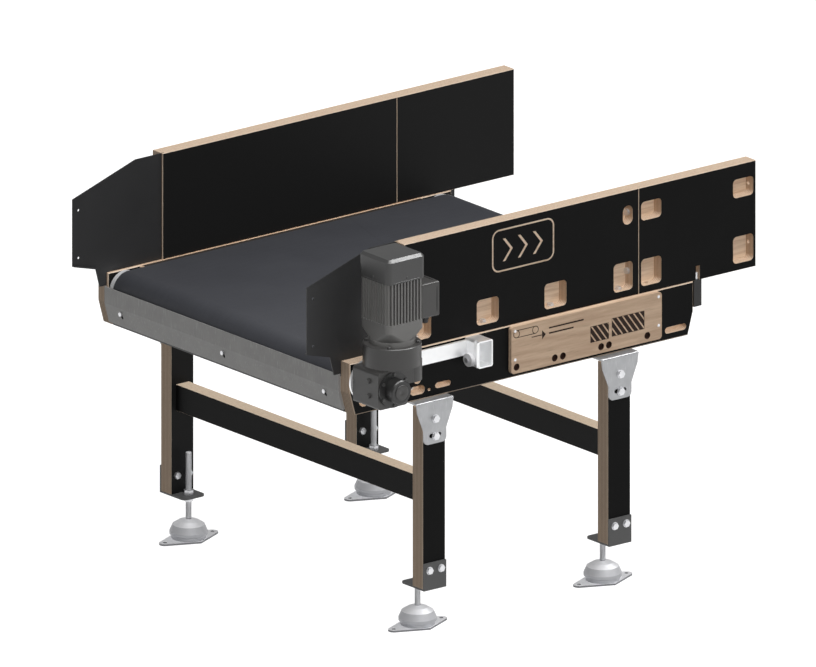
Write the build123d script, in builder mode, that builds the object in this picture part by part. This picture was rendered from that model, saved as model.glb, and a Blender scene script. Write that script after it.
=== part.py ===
"""Belt conveyor section with plywood frame, side guards, gearmotor and two tilting leg frames.

Frame: X along the conveyor from the drive end to the tail end, Y across it, with the
gearmotor on the -Y side, Z up. The origin is on the floor, midway between the four feet.
"""

import os

from build123d import *

os.makedirs("parts", exist_ok=True)

NEAR = -1
FAR = 1

# ---- driving dimensions, in millimetres ----

# plywood stock and the two side plates
clear_width = 1000
ply = 45
plate_length = 1190
plate_height = 150
plate_base = 656
plate_chamfer = 4
end_slant = 18
end_slant_height = 65

# guards
guard_height = 300
long_guard_length = 810
short_guard_length = 405
guard_chamfer = 1.5
pocket_depth = 33
pocket_corner = 12
screw_pocket_depth = 28
tail_slot_inset = 63
guard_bolt_pocket_width = 76
guard_bolt_pocket_height = 72
guard_bolt_pocket_rise = 20
guard_bolt_pitch = 234
seam_pocket_height = 80
seam_bolt_low = 66
seam_bolt_drop = 68
seam_head_room = 13
seam_bolt_tail = 11
seam_pocket_width = 66
short_pocket_width = 70
short_pocket_height = 76
upper_pocket_height = 53
slim_pocket_width = 34
slim_pocket_corner = 16.5
seam_wall = 8
end_wall = 9
joint_hole_radius = 5.5

# end bars under the tail end of the guards
bar_width = 26
bar_drop = 74
bar_step = 23
bar_gap = 1
bar_slot_width = 14
bar_slot_height = 41

# guide sheets at the drive end
sheet = 3
sheet_setback = 5
sheet_reach = 308
sheet_flat = 90
sheet_tip_low = 39
sheet_tip_drop = 71
sheet_tip_length = 80
sheet_lip_rise = 17
sheet_notch = 14
sheet_hole_inset = 21
sheet_hole_drop = 34
sheet_kerf_depth = 10
sheet_tongue_drop = 44
sheet_tongue_gap = 4
kerf_clearance = 0.2
sheet_kerf_spare = 1
cover_clearance = 2
sheet_hole_radius = 3.5
sheet_lip = 6

# drums, belt and rollers
drum_overhang = 4
drum_radius = 51
drum_face_gap = 8
drum_wall = 4
drum_disc = 10
drum_disc_inset = 8
belt_edge_gap = 25
belt_thickness = 2.7
belt_gap = 0.3
shaft_radius = 12.5
tail_axle_radius = 10
shaft_end_reach = 8
shaft_end_gap = 3
shaft_clearance = 1.5
bearing_radius = 26
bearing_width = 15
tail_bearing_radius = 23.5
tail_bearing_width = 14
running_gap = 0.05
roller_radius = 15
roller_wall = 2
roller_face_gap = 10
roller_plug = 16
roller_axle_radius = 6
roller_position = 272
roller_gap = 0.3

# bed, cross members, pan and end covers
bed_thickness = 15
bed_end_gap = 110
bed_chamfer = 4
member_position = 360
member_clearance = 2.3
member_bolt_rise = 10
pan_sheet = 3
pan_side = 44
pan_lip = 60
pan_side_inset = 60
keyhole_drop = 12
cover_sheet = 2
cover_offset = 5
cover_top = 112
cover_bottom = 9
cover_overlap = 6
keyhole_position = 440
keyhole_narrow = 3.4
keyhole_wide = 6.5
keyhole_length = 9

# top leg brackets and leg frames
leg_position = 320
leg_width = 77
leg_setback = 21.4
leg_top = 636
pivot_height = 604
slot_bolt_drop = 49
slot_half_angle = 17
bracket_sheet = 5
bracket_bend = 4.5
bracket_top_width = 127
bracket_drop = 122
bracket_corner = 14
bracket_shoulder = 30
bracket_waist = 40
bracket_taper = 4
leg_gap = 0.3
leg_bolt_radius = 6
beam_bottom = 361
beam_height = 74

# foot brackets and levelling feet
foot_bracket_bottom = 121
foot_bracket_height = 77
foot_bracket_reach = 105
foot_bolt_pitch = 40
foot_bolt_height = 177
foot_line_inset = 50
foot_bracket_corner = 15
rod_radius = 8
rod_top = 246
bell_radius = 52
bell_base_radius = 46.5
bell_height = 53
bell_draft = 1.5
bell_rim_low = 9
bell_rim_lip = 3
bell_rim_high = 20
bell_shoulder_radius = 44
bell_shoulder_drop = 15
bell_crown_radius = 28
bell_crown_drop = 5
bell_neck_radius = 13
base_plate = 5
base_length = 196
base_width = 110
base_corner = 16
base_tangent_back = 0.6
base_tangent_side = 0.92
rod_depth = 12
anchor_spacing = 164
anchor_radius = 5.5

# gearmotor and torque arm
motor_offset = 29
worm_offset = 50
gearbox_clearance = 15
gearbox_depth = 110
gearbox_half = 51
gearbox_corner = 9
motor_setback = 15
gearbox_roof = 2
boss_radius = 22
boss_rise = 10
boss_floor = 2
neck_overlap = 6
neck_hollow = 14
neck_hollow_radius = 36.5
case_offset = 53
case_radius = 40
case_rise = 5
worm_floor = 3
worm_end_gap = 0.5
worm_seat = 4
worm_half_length = 22
gear_drop = (19, 5)
adapter_floor = 8
adapter_ceiling = 6
adapter_wall = 10
adapter_chamfer = 2
gearbox_wall = 6
sleeve_radius = 20
sleeve_end_gap = 1
wheel_radius = 42
worm_radius = 7.7
pinion_radius = 6.7
gear_radius = 14
neck_radius = 58
neck_rise = 61
adapter_radius = 80
adapter_height = 60
shield_radius = 63
shield_height = 14
taper_height = 29
ring_height = 24
taper_inset = 1
fan_cover_rise = 305
motor_rise = 375
fan_cover_width = 130
fin_envelope = 126
fin_pitch = 10.8
fin_gap = 5.6
fin_depth = 8
stator_radius = 50
rotor_radius = 32.5
air_gap = 0.5
rotor_end_gap = 3
shaft_step = (2, 4)
fan_sheet = 2.5
fan_hub_wall = 7
motor_shaft_radius = 9
arm_sheet = 7
arm_ring_radius = 58
arm_bar_height = 42
arm_bar_rise = 3
tube_position = -196
tube_width = 50
tube_height = 76
tube_length = 58
tube_wall = 4
tube_corner = 5
tube_bolt_rise = 24
tube_screw_rise = 58
tube_screw_pitch = 24
tube_screw_depth = 28
buffer_radius = 19
buffer_length = 14
buffer_fillet = 2
arm_bolt_drop = 4

# gearbox, motor and torque arm details
worm_shaft_radius = 6
wheel_width = 24
small_screw_radius = 2.5
cap_radius = 34
cap_wall = 5
cap_flange = 6
cap_flange_radius = 50
cap_screw_circle = 44
cap_reach = 38
cap_clearance = 1
cap_chamfer = 3
pinion_shaft_radius = 6
fin_corner = 16
fin_count = 11
motor_end_wall = 8
stator_rise = 170
stator_length = 110
fan_rise = 313
fan_height = 24
fan_radius = 52
fan_blades = 8
fan_blade_overlap = 1
fan_cover_corner = 14
fan_cover_chamfer = 8
fan_cover_wall = 2.5
terminal_width = 84
terminal_rise = 179
terminal_height = 98
terminal_reach = 122
terminal_corner = 6
terminal_pad = 6
terminal_pad_width = 60
terminal_pad_inset = 15
terminal_wall = 4
lid_thickness = 9
lid_chamfer = 1.5
lid_screw_inset = 9
gland_inset = 26
gland_offset = 20
gland_nut_width = 22
gland_nut_height = 7
gland_dome_radius = 9.5
gland_dome_height = 11
gland_radius = 10
gland_bore = 5
arm_bore = 30
arm_bolt_circle = 46
arm_tab = 6
arm_bolt_reach = 35
arm_bolt_radius = 4
arm_bolt_tail = 14

# label board
board_start = -45
board_end = 475
board_bottom = 670
board_top = 803
board_thickness = 12
board_corner = 10
board_hole_depth = 9
board_hole_xs = (-27, 105, 133, 265, 292, 425)
board_hole_radius = 10
board_hole_height = 688
label_screw_inset = 12
label_screw_rise = 40

# screw heads: width, height, and the radius and thickness of a flange under the head
small_head = (8, 4)
lid_head = (6.5, 2.5)
middle_head = (13, 5)
bracket_head = (10, 4)
member_head = (13, 5.5, 9, 1.5)
guard_head = (16, 7, 10, 2)
seam_head = (16, 7, 9.5, 2)
bar_head = (11, 20)
keyhole_head = (11, 3)
label_head = (8, 2)
arm_nut_height = 6
guard_nut_height = 8
keyhole_screw_gap = 2
keyhole_screw_length = 14

# ---- places worked out from the dimensions above ----

inner = clear_width / 2
outer = inner + ply
middle = inner + ply / 2
plate_top = plate_base + plate_height
plate_end = plate_length / 2
guard_top = plate_top + guard_height
seam = long_guard_length / 2
guard_start = -seam
guard_end = seam + short_guard_length
pocket_floor = outer - pocket_depth
belt_inner = drum_radius + belt_gap
belt_outer = belt_inner + belt_thickness
belt_width = clear_width - 2 * belt_edge_gap
drum_x = plate_end - belt_outer + drum_overhang
drum_z = plate_top - drum_radius
drum_face = clear_width - 2 * drum_face_gap
roller_face = clear_width - 2 * roller_face_gap
return_z = drum_z - belt_outer - roller_radius - roller_gap
sheet_inner = inner + sheet_setback
sheet_outer = sheet_inner + sheet
leg_inner = inner + leg_setback
leg_outer = leg_inner + ply
leg_bottom = foot_bracket_bottom + bracket_sheet
bracket_inner = leg_outer + leg_gap
bracket_outer = bracket_inner + bracket_sheet
bracket_bottom = plate_base - bracket_drop
slot_bolt_z = pivot_height - slot_bolt_drop
guard_bolt_z = plate_top + guard_bolt_pocket_rise
guard_bolt_xs = [guard_bolt_pitch * (step - 1.5) for step in range(4)]
low_seam_z = plate_top + seam_bolt_low
high_seam_z = guard_top - seam_bolt_drop
sheet_tip_top = guard_top - sheet_tip_drop
bar_x = plate_end + bar_gap + bar_width / 2
bed_bottom = plate_top - bed_thickness
member_bottom = drum_z - belt_inner + member_clearance
member_bolt_z = member_bottom + member_bolt_rise
bar_thickness = ply - bar_step
sheet_tongue_length = plate_end - drum_x - bearing_radius - sheet_tongue_gap
keyhole_z = plate_base + pan_lip - keyhole_drop
foot_line = outer - foot_line_inset
gearbox_back = outer + gearbox_clearance
gearbox_front = gearbox_back + gearbox_depth
motor_x = motor_offset - drum_x
motor_y = -(gearbox_back + gearbox_front) / 2 - motor_setback
worm_x = worm_offset - drum_x
neck_top = drum_z + neck_rise
fan_cover_bottom = drum_z + fan_cover_rise
motor_top = drum_z + motor_rise
stator_z = (drum_z + stator_rise, drum_z + stator_rise + stator_length)
fan_z = (drum_z + fan_rise, drum_z + fan_rise + fan_height)
terminal_z = (drum_z + terminal_rise, drum_z + terminal_rise + terminal_height)
terminal_end = motor_x + terminal_reach
gland_x = terminal_end - gland_inset
gland_y = motor_y - gland_offset
arm_outer = gearbox_back
arm_inner = arm_outer - arm_sheet
arm_bar_bottom = drum_z + arm_bar_rise
arm_bolt_height = drum_z - arm_bolt_drop
arm_bolt_y = -outer - arm_bolt_reach


# ---- helpers ----

def save(piece, name):
    """Label a finished piece and write its STEP file."""
    piece.part.label = name
    export_step(piece.part, f"parts/{name}.step")


def slab(side, low, high):
    """Sketch plane for a slab between two distances from the centreline, and its thickness."""
    top = high if side > 0 else -low
    return Plane.XZ.offset(-top), high - low


def block(x_span, y_span, z_span, mode=Mode.ADD):
    """A box between two values on each axis."""
    spans = (x_span, y_span, z_span)
    centre = [sum(span) / 2 for span in spans]
    sizes = [abs(span[1] - span[0]) for span in spans]
    with Locations(Location(centre)):
        Box(*sizes, mode=mode)


def sided(side, low, high):
    """The Y span between two distances from the centreline, on one side."""
    return (side * low, side * high)


def cross_rod(x, z, radius, y_span, mode=Mode.ADD):
    """A cylinder along Y."""
    with Locations(Location((x, sum(y_span) / 2, z))):
        Cylinder(radius, abs(y_span[1] - y_span[0]), rotation=(90, 0, 0), mode=mode)


def long_rod(y, z, radius, x_span, mode=Mode.ADD):
    """A cylinder along X."""
    with Locations(Location((sum(x_span) / 2, y, z))):
        Cylinder(radius, abs(x_span[1] - x_span[0]), rotation=(0, 90, 0), mode=mode)


def upright(x, y, radius, z_span, mode=Mode.ADD):
    """A cylinder along Z."""
    with Locations(Location((x, y, sum(z_span) / 2))):
        Cylinder(radius, abs(z_span[1] - z_span[0]), mode=mode)


def screw(frame, shank_radius, length, head_width, head_height, flange_radius=0, flange=1.5):
    """A hexagon-head screw on a plane: its head stands up from it, its shank goes down."""
    with BuildSketch(frame) as hexagon:
        RegularPolygon(head_width / 2, 6, major_radius=False)
    extrude(hexagon.sketch, amount=head_height)
    with BuildSketch(frame) as round_shank:
        Circle(shank_radius)
    extrude(round_shank.sketch, amount=-length)
    if flange_radius:
        with BuildSketch(frame) as collar:
            Circle(flange_radius)
        extrude(collar.sketch, amount=flange)


def nut(frame, bore_radius, width, height):
    """A hexagon nut that stands up from a plane."""
    with BuildSketch(frame) as hexagon:
        RegularPolygon(width / 2, 6, major_radius=False)
        Circle(bore_radius, mode=Mode.SUBTRACT)
    extrude(hexagon.sketch, amount=height)


def outward(side, x, reach, z):
    """A plane that faces away from the centreline, at a distance from it."""
    return Plane(origin=(x, side * reach, z), x_dir=(1, 0, 0), z_dir=(0, side, 0))


def inward(side, x, reach, z):
    """A plane that faces the centreline, at a distance from it."""
    return Plane(origin=(x, side * reach, z), x_dir=(1, 0, 0), z_dir=(0, -side, 0))


def obround_pocket(side, x, z, length, height, floor):
    """A long round-ended pocket cut into the outer face of a plate."""
    plane, depth = slab(side, floor, outer)
    with BuildSketch(plane) as outline:
        with Locations((x, z)):
            SlotOverall(length, height)
    extrude(outline.sketch, amount=depth, mode=Mode.SUBTRACT)


def square_pocket(side, x_span, z_span, corner):
    """A rounded rectangular pocket cut into the outer face of a guard."""
    plane, depth = slab(side, pocket_floor, outer)
    with BuildSketch(plane) as outline:
        with Locations((sum(x_span) / 2, sum(z_span) / 2)):
            RectangleRounded(x_span[1] - x_span[0], z_span[1] - z_span[0], corner)
    extrude(outline.sketch, amount=depth, mode=Mode.SUBTRACT)


def round_places(centre_x, centre_z, circle, count, start):
    """Evenly spaced places on a circle in X and Z."""
    step = 360 / count
    places = []
    for turn in range(count):
        spoke = Vector(circle, 0, 0).rotate(Axis.Z, start + turn * step)
        places.append((centre_x + spoke.X, centre_z + spoke.Y))
    return places


def cap_screw_places():
    """X and Z of the screws around the gearbox's end cap."""
    return round_places(-drum_x, drum_z, cap_screw_circle, 6, 30)


def arm_screw_places():
    """X and Z of the screws that hold the torque arm's ring."""
    return round_places(-drum_x, drum_z, arm_bolt_circle, 4, 45)


def lid_screw_places():
    """Y and Z of the four screws of the terminal box lid."""
    half = terminal_width / 2 - lid_screw_inset
    ys = (motor_y - half, motor_y + half)
    zs = (terminal_z[0] + lid_screw_inset, terminal_z[1] - lid_screw_inset)
    return [(y, z) for y in ys for z in zs]


# ---- side plates ----

screw_pocket_radius = 12.5
screw_pocket_floor = outer - screw_pocket_depth
belly_pocket_z = plate_base + 29
belly_pocket_length = 50
roller_pocket_length = 53
roller_pocket_height = 16
tail_slot_x = plate_end - tail_slot_inset
tail_slot_length = 73
tail_slot_height = 18
tail_slot_z = plate_base + 28
shaft_slot_width = 36
shaft_slot_bottom = plate_base + 20
shaft_slot_top = plate_base + 140
block_width = 40
block_height = 30
block_clearance = 0.2
block_travel = 20
block_end_gap = 1
block_depth = 28
takeup_radius = 4
guard_bolt_radius = 5
guard_bolt_length = 56
hole_clearance = 0.2
bracket_screw_line = inner + 9
bracket_screw_offset = 36
bracket_screw_radius = 3
bracket_screw_length = 22
member_screw_radius = 4
member_screw_length = 50
label_screw_radius = 2.5
label_screw_depth = 10
sight_hole_radius = 4.5
sight_hole_rise = 24
screw_hole_spare = 2
bar_screw_length = 34


def plate_profile():
    """Outline of a side plate in X and Z, its ends slanting in at the bottom."""
    slant_z = plate_base + end_slant_height
    foot_x = plate_end - end_slant
    Polyline(
        (-plate_end, plate_top),
        (plate_end, plate_top),
        (plate_end, slant_z),
        (foot_x, plate_base),
        (-foot_x, plate_base),
        (-plate_end, slant_z),
        close=True,
    )


def side_plate(side, name):
    """One side plate with its bearing seats, pockets and screw holes."""
    plane, depth = slab(side, inner, outer)
    with BuildPart() as plate:
        with BuildSketch(plane):
            with BuildLine():
                plate_profile()
            make_face()
        extrude(amount=depth)
        chamfer(plate.faces().filter_by(Axis.Y).edges(), length=plate_chamfer)
        # drive shaft: bearing seat inside, slot outside
        cross_rod(-drum_x, drum_z, bearing_radius, sided(side, inner, inner + bearing_width), Mode.SUBTRACT)
        slot_middle = (shaft_slot_bottom + shaft_slot_top) / 2
        slot_plane, slot_depth = slab(side, screw_pocket_floor, outer)
        with BuildSketch(slot_plane):
            with Locations((-drum_x, slot_middle)):
                SlotOverall(shaft_slot_top - shaft_slot_bottom, shaft_slot_width, rotation=90)
        extrude(amount=slot_depth, mode=Mode.SUBTRACT)
        cross_rod(-drum_x, drum_z, shaft_radius + shaft_clearance, sided(side, inner, outer), Mode.SUBTRACT)
        # tail axle: take-up window inside, screw hole from the end
        window_x = (drum_x - block_width / 2 - block_travel, drum_x + block_width / 2 + block_end_gap)
        window_z = (drum_z - block_height / 2 - block_clearance, drum_z + block_height / 2 + block_clearance)
        block(window_x, sided(side, inner, inner + block_depth), window_z, Mode.SUBTRACT)
        takeup_y = side * (inner + block_depth / 2)
        long_rod(takeup_y, drum_z, takeup_radius + hole_clearance, (drum_x, plate_end), Mode.SUBTRACT)
        # return rollers
        for x in (-roller_position, roller_position):
            obround_pocket(side, x, return_z, roller_pocket_length, roller_pocket_height, screw_pocket_floor)
            cross_rod(x, return_z, roller_axle_radius, sided(side, inner, screw_pocket_floor), Mode.SUBTRACT)
        # cross members and pan
        for x in (-member_position, 0, member_position):
            deep = sided(side, screw_pocket_floor, outer)
            cross_rod(x, member_bolt_z, screw_pocket_radius, deep, Mode.SUBTRACT)
            hole = member_screw_radius + hole_clearance
            cross_rod(x, member_bolt_z, hole, sided(side, inner, outer), Mode.SUBTRACT)
        for x in (-member_position, member_position):
            pocket_height = 2 * screw_pocket_radius
            obround_pocket(side, x, belly_pocket_z, belly_pocket_length, pocket_height, screw_pocket_floor)
            hole = bracket_screw_radius + hole_clearance
            cross_rod(x, belly_pocket_z, hole, sided(side, inner, outer), Mode.SUBTRACT)
        obround_pocket(side, tail_slot_x, tail_slot_z, tail_slot_length, tail_slot_height, screw_pocket_floor)
        sight_z = plate_base + sight_hole_rise
        cross_rod(-leg_position, sight_z, sight_hole_radius, sided(side, inner, outer), Mode.SUBTRACT)
        # guard bolts from above, bracket screws from below
        for x in guard_bolt_xs:
            deep = guard_bolt_length - guard_bolt_pocket_rise + screw_hole_spare
            hole = guard_bolt_radius + hole_clearance
            upright(x, side * middle, hole, (plate_top - deep, plate_top), Mode.SUBTRACT)
        for x in bracket_screw_xs():
            hole = bracket_screw_radius + hole_clearance
            top = plate_base + bracket_screw_length
            upright(x, side * bracket_screw_line, hole, (plate_base, top), Mode.SUBTRACT)
        # kerf for the guide sheet's tongue
        kerf_y = sided(side, sheet_inner - kerf_clearance, sheet_outer + kerf_clearance)
        kerf_x = (-plate_end, -plate_end + sheet_tongue_length + 2 * kerf_clearance)
        block(kerf_x, kerf_y, (plate_top - sheet_tongue_drop - kerf_clearance, plate_top), Mode.SUBTRACT)
        if side == NEAR:
            for x in tube_screw_xs():
                hole_y = sided(side, outer - tube_screw_depth - screw_hole_spare, outer)
                cross_rod(x, tube_screw_z, bracket_screw_radius + hole_clearance, hole_y, Mode.SUBTRACT)
            for x, z in label_screw_places():
                hole = label_screw_radius + hole_clearance
                deep = label_screw_depth + screw_hole_spare
                cross_rod(x, z, hole, sided(side, outer - deep, outer), Mode.SUBTRACT)
    save(plate, name)


def bracket_screw_xs():
    """X of the screws that hold the top leg brackets under a plate."""
    places = []
    for centre in (-leg_position, leg_position):
        places += [centre - bracket_screw_offset, centre + bracket_screw_offset]
    return places


def label_screw_places():
    """The four screws of the label board, clear of the pockets behind it."""
    xs = (board_start + label_screw_inset, board_end - label_screw_inset)
    zs = (board_bottom + label_screw_rise, board_top - label_screw_inset)
    return [(x, z) for x in xs for z in zs]


def tube_screw_xs():
    """X of the two screws that hold the torque arm's tube to its plate."""
    middle_x = tube_position + tube_width / 2
    return (middle_x - tube_screw_pitch / 2, middle_x + tube_screw_pitch / 2)


tube_bottom = arm_bolt_height - tube_bolt_rise
tube_screw_z = tube_bottom + tube_screw_rise

side_plate(NEAR, "side_plate_near")
side_plate(FAR, "side_plate_far")


# ---- guards ----

def bolt_pocket_span(x):
    """X span of the pocket around a guard bolt."""
    half = guard_bolt_pocket_width / 2
    return (x - half, x + half)


def long_guard(side, name):
    """The long guard board, from the drive end to the seam."""
    plane, depth = slab(side, inner, outer)
    low = guard_bolt_z
    with BuildPart() as guard:
        with BuildSketch(plane):
            with Locations(((guard_start + seam) / 2, (plate_top + guard_top) / 2)):
                Rectangle(seam - guard_start, guard_height)
        extrude(amount=depth)
        chamfer(guard.faces().filter_by(Axis.Y).edges(), length=guard_chamfer)
        for x in guard_bolt_xs[:3]:
            square_pocket(side, bolt_pocket_span(x), (low, low + guard_bolt_pocket_height), pocket_corner)
        seam_pocket_end = seam - seam_wall - seam_head_room
        seam_pocket = (seam_pocket_end - seam_pocket_width, seam_pocket_end)
        square_pocket(side, seam_pocket, (low, low + seam_pocket_height), pocket_corner)
        slim = (seam_pocket[1] - slim_pocket_width, seam_pocket[1])
        slim_z = (high_seam_z - upper_pocket_height / 2, high_seam_z + upper_pocket_height / 2)
        square_pocket(side, slim, slim_z, slim_pocket_corner)
        hole = guard_bolt_radius + hole_clearance
        for x in guard_bolt_xs:
            upright(x, side * middle, hole, (plate_top, low), Mode.SUBTRACT)
        for z in (low_seam_z, high_seam_z):
            long_rod(side * middle, z, hole, (seam_pocket[1], seam), Mode.SUBTRACT)
        kerf_y = sided(side, sheet_inner - kerf_clearance, sheet_outer + kerf_clearance)
        block((guard_start, guard_start + sheet_kerf_depth), kerf_y, (plate_top, guard_top), Mode.SUBTRACT)
    save(guard, name)


def short_guards():
    """The two short guard boards past the seam, with the holes that take the next section."""
    with BuildPart() as guards:
        for side in (NEAR, FAR):
            plane, depth = slab(side, inner, outer)
            with BuildSketch(plane):
                with Locations(((seam + guard_end) / 2, (plate_top + guard_top) / 2)):
                    Rectangle(short_guard_length, guard_height)
            extrude(amount=depth)
        chamfer(guards.faces().filter_by(Axis.Y).edges(), length=guard_chamfer)
        near_pocket = (seam + seam_wall, seam + seam_wall + short_pocket_width)
        end_pocket = (guard_end - end_wall - short_pocket_width, guard_end - end_wall)
        low = guard_bolt_z
        high = (high_seam_z - upper_pocket_height / 2, high_seam_z + upper_pocket_height / 2)
        hole = guard_bolt_radius + hole_clearance
        for side in (NEAR, FAR):
            for pocket in (near_pocket, end_pocket):
                square_pocket(side, pocket, (low, low + short_pocket_height), pocket_corner)
                square_pocket(side, pocket, high, pocket_corner)
            for z in (low_seam_z, high_seam_z):
                long_rod(side * middle, z, hole, (seam, near_pocket[0]), Mode.SUBTRACT)
                end_hole = (end_pocket[1], guard_end)
                long_rod(side * middle, z, joint_hole_radius, end_hole, Mode.SUBTRACT)
            upright(sum(near_pocket) / 2, side * middle, hole, (plate_top, low), Mode.SUBTRACT)
            slot_x = (bar_x - bar_slot_width / 2, bar_x + bar_slot_width / 2)
            slot_z = (plate_top, plate_top + bar_slot_height)
            block(slot_x, sided(side, pocket_floor, outer), slot_z, Mode.SUBTRACT)
    save(guards, "guards_short")


long_guard(NEAR, "guard_long_near")
long_guard(FAR, "guard_long_far")
short_guards()

bar_screw_line = outer - bar_thickness / 2

with BuildPart() as end_bars:
    for side in (NEAR, FAR):
        bar_y = sided(side, outer - bar_thickness, outer)
        block((bar_x - bar_width / 2, bar_x + bar_width / 2), bar_y, (plate_top - bar_drop, plate_top))
        hole = guard_bolt_radius
        upright(bar_x, side * bar_screw_line, hole, (plate_top - bar_screw_length, plate_top), Mode.SUBTRACT)
save(end_bars, "end_bars")


# ---- guide sheets at the drive end ----

with BuildPart() as guide_sheets:
    tip_x = guard_start - sheet_reach
    tongue_x = -plate_end + sheet_tongue_length
    tongue_z = plate_top - sheet_tongue_drop
    over_cover = plate_base + cover_top + cover_clearance
    kerf_end = guard_start + sheet_kerf_depth - sheet_kerf_spare
    lip_low = (tip_x + sheet_tip_length, plate_top + sheet_lip_rise)
    for side in (NEAR, FAR):
        plane, depth = slab(side, sheet_inner, sheet_outer)
        with BuildSketch(plane):
            with BuildLine():
                Polyline(
                    (kerf_end, guard_top),
                    (guard_start - sheet_flat, guard_top),
                    (tip_x, sheet_tip_top),
                    (tip_x, plate_top + sheet_tip_low),
                    lip_low,
                    (lip_low[0] + sheet_notch, over_cover),
                    (-plate_end, over_cover),
                    (-plate_end, tongue_z),
                    (tongue_x, tongue_z),
                    (tongue_x, plate_top),
                    (kerf_end, plate_top),
                    close=True,
                )
            make_face()
        extrude(amount=depth)
        for z in (sheet_tip_top - sheet_hole_drop, plate_top + sheet_tip_low + sheet_hole_inset):
            hole_y = sided(side, sheet_inner, sheet_outer)
            cross_rod(tip_x + sheet_hole_inset, z, sheet_hole_radius, hole_y, Mode.SUBTRACT)
        # stiffening lip along the lower edge, folded towards the belt
        lip_plane, lip_depth = slab(side, sheet_inner - sheet_lip, sheet_inner)
        with BuildSketch(lip_plane):
            with BuildLine():
                Polyline(
                    (tip_x, plate_top + sheet_tip_low),
                    lip_low,
                    (lip_low[0], lip_low[1] + sheet),
                    (tip_x, plate_top + sheet_tip_low + sheet),
                    close=True,
                )
            make_face()
        extrude(amount=lip_depth)
save(guide_sheets, "guide_sheets")


# ---- label board ----

with BuildPart() as label_board:
    board_plane, board_depth = slab(NEAR, outer, outer + board_thickness)
    with BuildSketch(board_plane):
        with Locations(((board_start + board_end) / 2, (board_bottom + board_top) / 2)):
            RectangleRounded(board_end - board_start, board_top - board_bottom, board_corner)
    extrude(amount=board_depth)
    board_y = (-outer - board_thickness, -outer - board_thickness + board_hole_depth)
    for x in board_hole_xs:
        cross_rod(x, board_hole_height, board_hole_radius, board_y, Mode.SUBTRACT)
    for x, z in label_screw_places():
        hole = label_screw_radius + hole_clearance
        cross_rod(x, z, hole, sided(NEAR, outer, outer + board_thickness), Mode.SUBTRACT)
save(label_board, "label_board")


# ---- slider bed and cross members ----

bed_length = plate_length - 2 * bed_end_gap

with BuildPart() as slider_bed:
    block((-bed_length / 2, bed_length / 2), (-inner, inner), (bed_bottom, plate_top))
    chamfer(slider_bed.faces().sort_by(Axis.Z)[-1].edges().filter_by(Axis.Y), length=bed_chamfer)
save(slider_bed, "slider_bed")

with BuildPart() as cross_members:
    for x in (-member_position, 0, member_position):
        block((x - ply / 2, x + ply / 2), (-inner, inner), (member_bottom, bed_bottom))
        for side in (NEAR, FAR):
            deep = sided(side, inner - member_screw_length, inner)
            cross_rod(x, member_bolt_z, member_screw_radius, deep, Mode.SUBTRACT)
save(cross_members, "cross_members")


# ---- pan under the belt, and the end covers ----

def end_line(end, offset):
    """X of a line parallel to the slanting end of a plate, at the bend and at the bottom."""
    bend_x = end * (plate_end + offset)
    foot_x = end * (plate_end - end_slant + offset)
    return bend_x, foot_x


with BuildPart() as belly_pan:
    pan_end = plate_end - end_slant
    block((-pan_end, pan_end), (-inner, inner), (plate_base, plate_base + pan_sheet))
    for side in (NEAR, FAR):
        side_y = sided(side, inner - pan_sheet, inner)
        side_x = (pan_side_inset - pan_end, pan_end - pan_side_inset)
        block(side_x, side_y, (plate_base, plate_base + pan_side))
    slope = end_slant / end_slant_height
    for end in (-1, 1):
        with BuildSketch(Plane.XZ.offset(-inner)) as lip_outline:
            with BuildLine():
                Polyline(
                    (end * pan_end, plate_base),
                    (end * (pan_end + pan_lip * slope), plate_base + pan_lip),
                    (end * (pan_end + pan_lip * slope - pan_sheet), plate_base + pan_lip),
                    (end * (pan_end - pan_sheet), plate_base),
                    close=True,
                )
            make_face()
        extrude(lip_outline.sketch, amount=2 * inner)
        for y in (-keyhole_position, 0, keyhole_position):
            hole_x = sorted((end * (pan_end - pan_sheet), end * plate_end))
            hole = bracket_screw_radius
            long_rod(y, keyhole_z, hole, hole_x, Mode.SUBTRACT)
    for x in (-roller_position, roller_position):
        for side in (NEAR, FAR):
            bore = roller_axle_radius + 1
            cross_rod(x, return_z, bore, sided(side, inner - pan_sheet, inner), Mode.SUBTRACT)
    for x in (-member_position, member_position):
        for side in (NEAR, FAR):
            hole_y = sided(side, inner - pan_sheet, inner)
            cross_rod(x, belly_pocket_z, bracket_screw_radius, hole_y, Mode.SUBTRACT)
save(belly_pan, "belly_pan")


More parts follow.
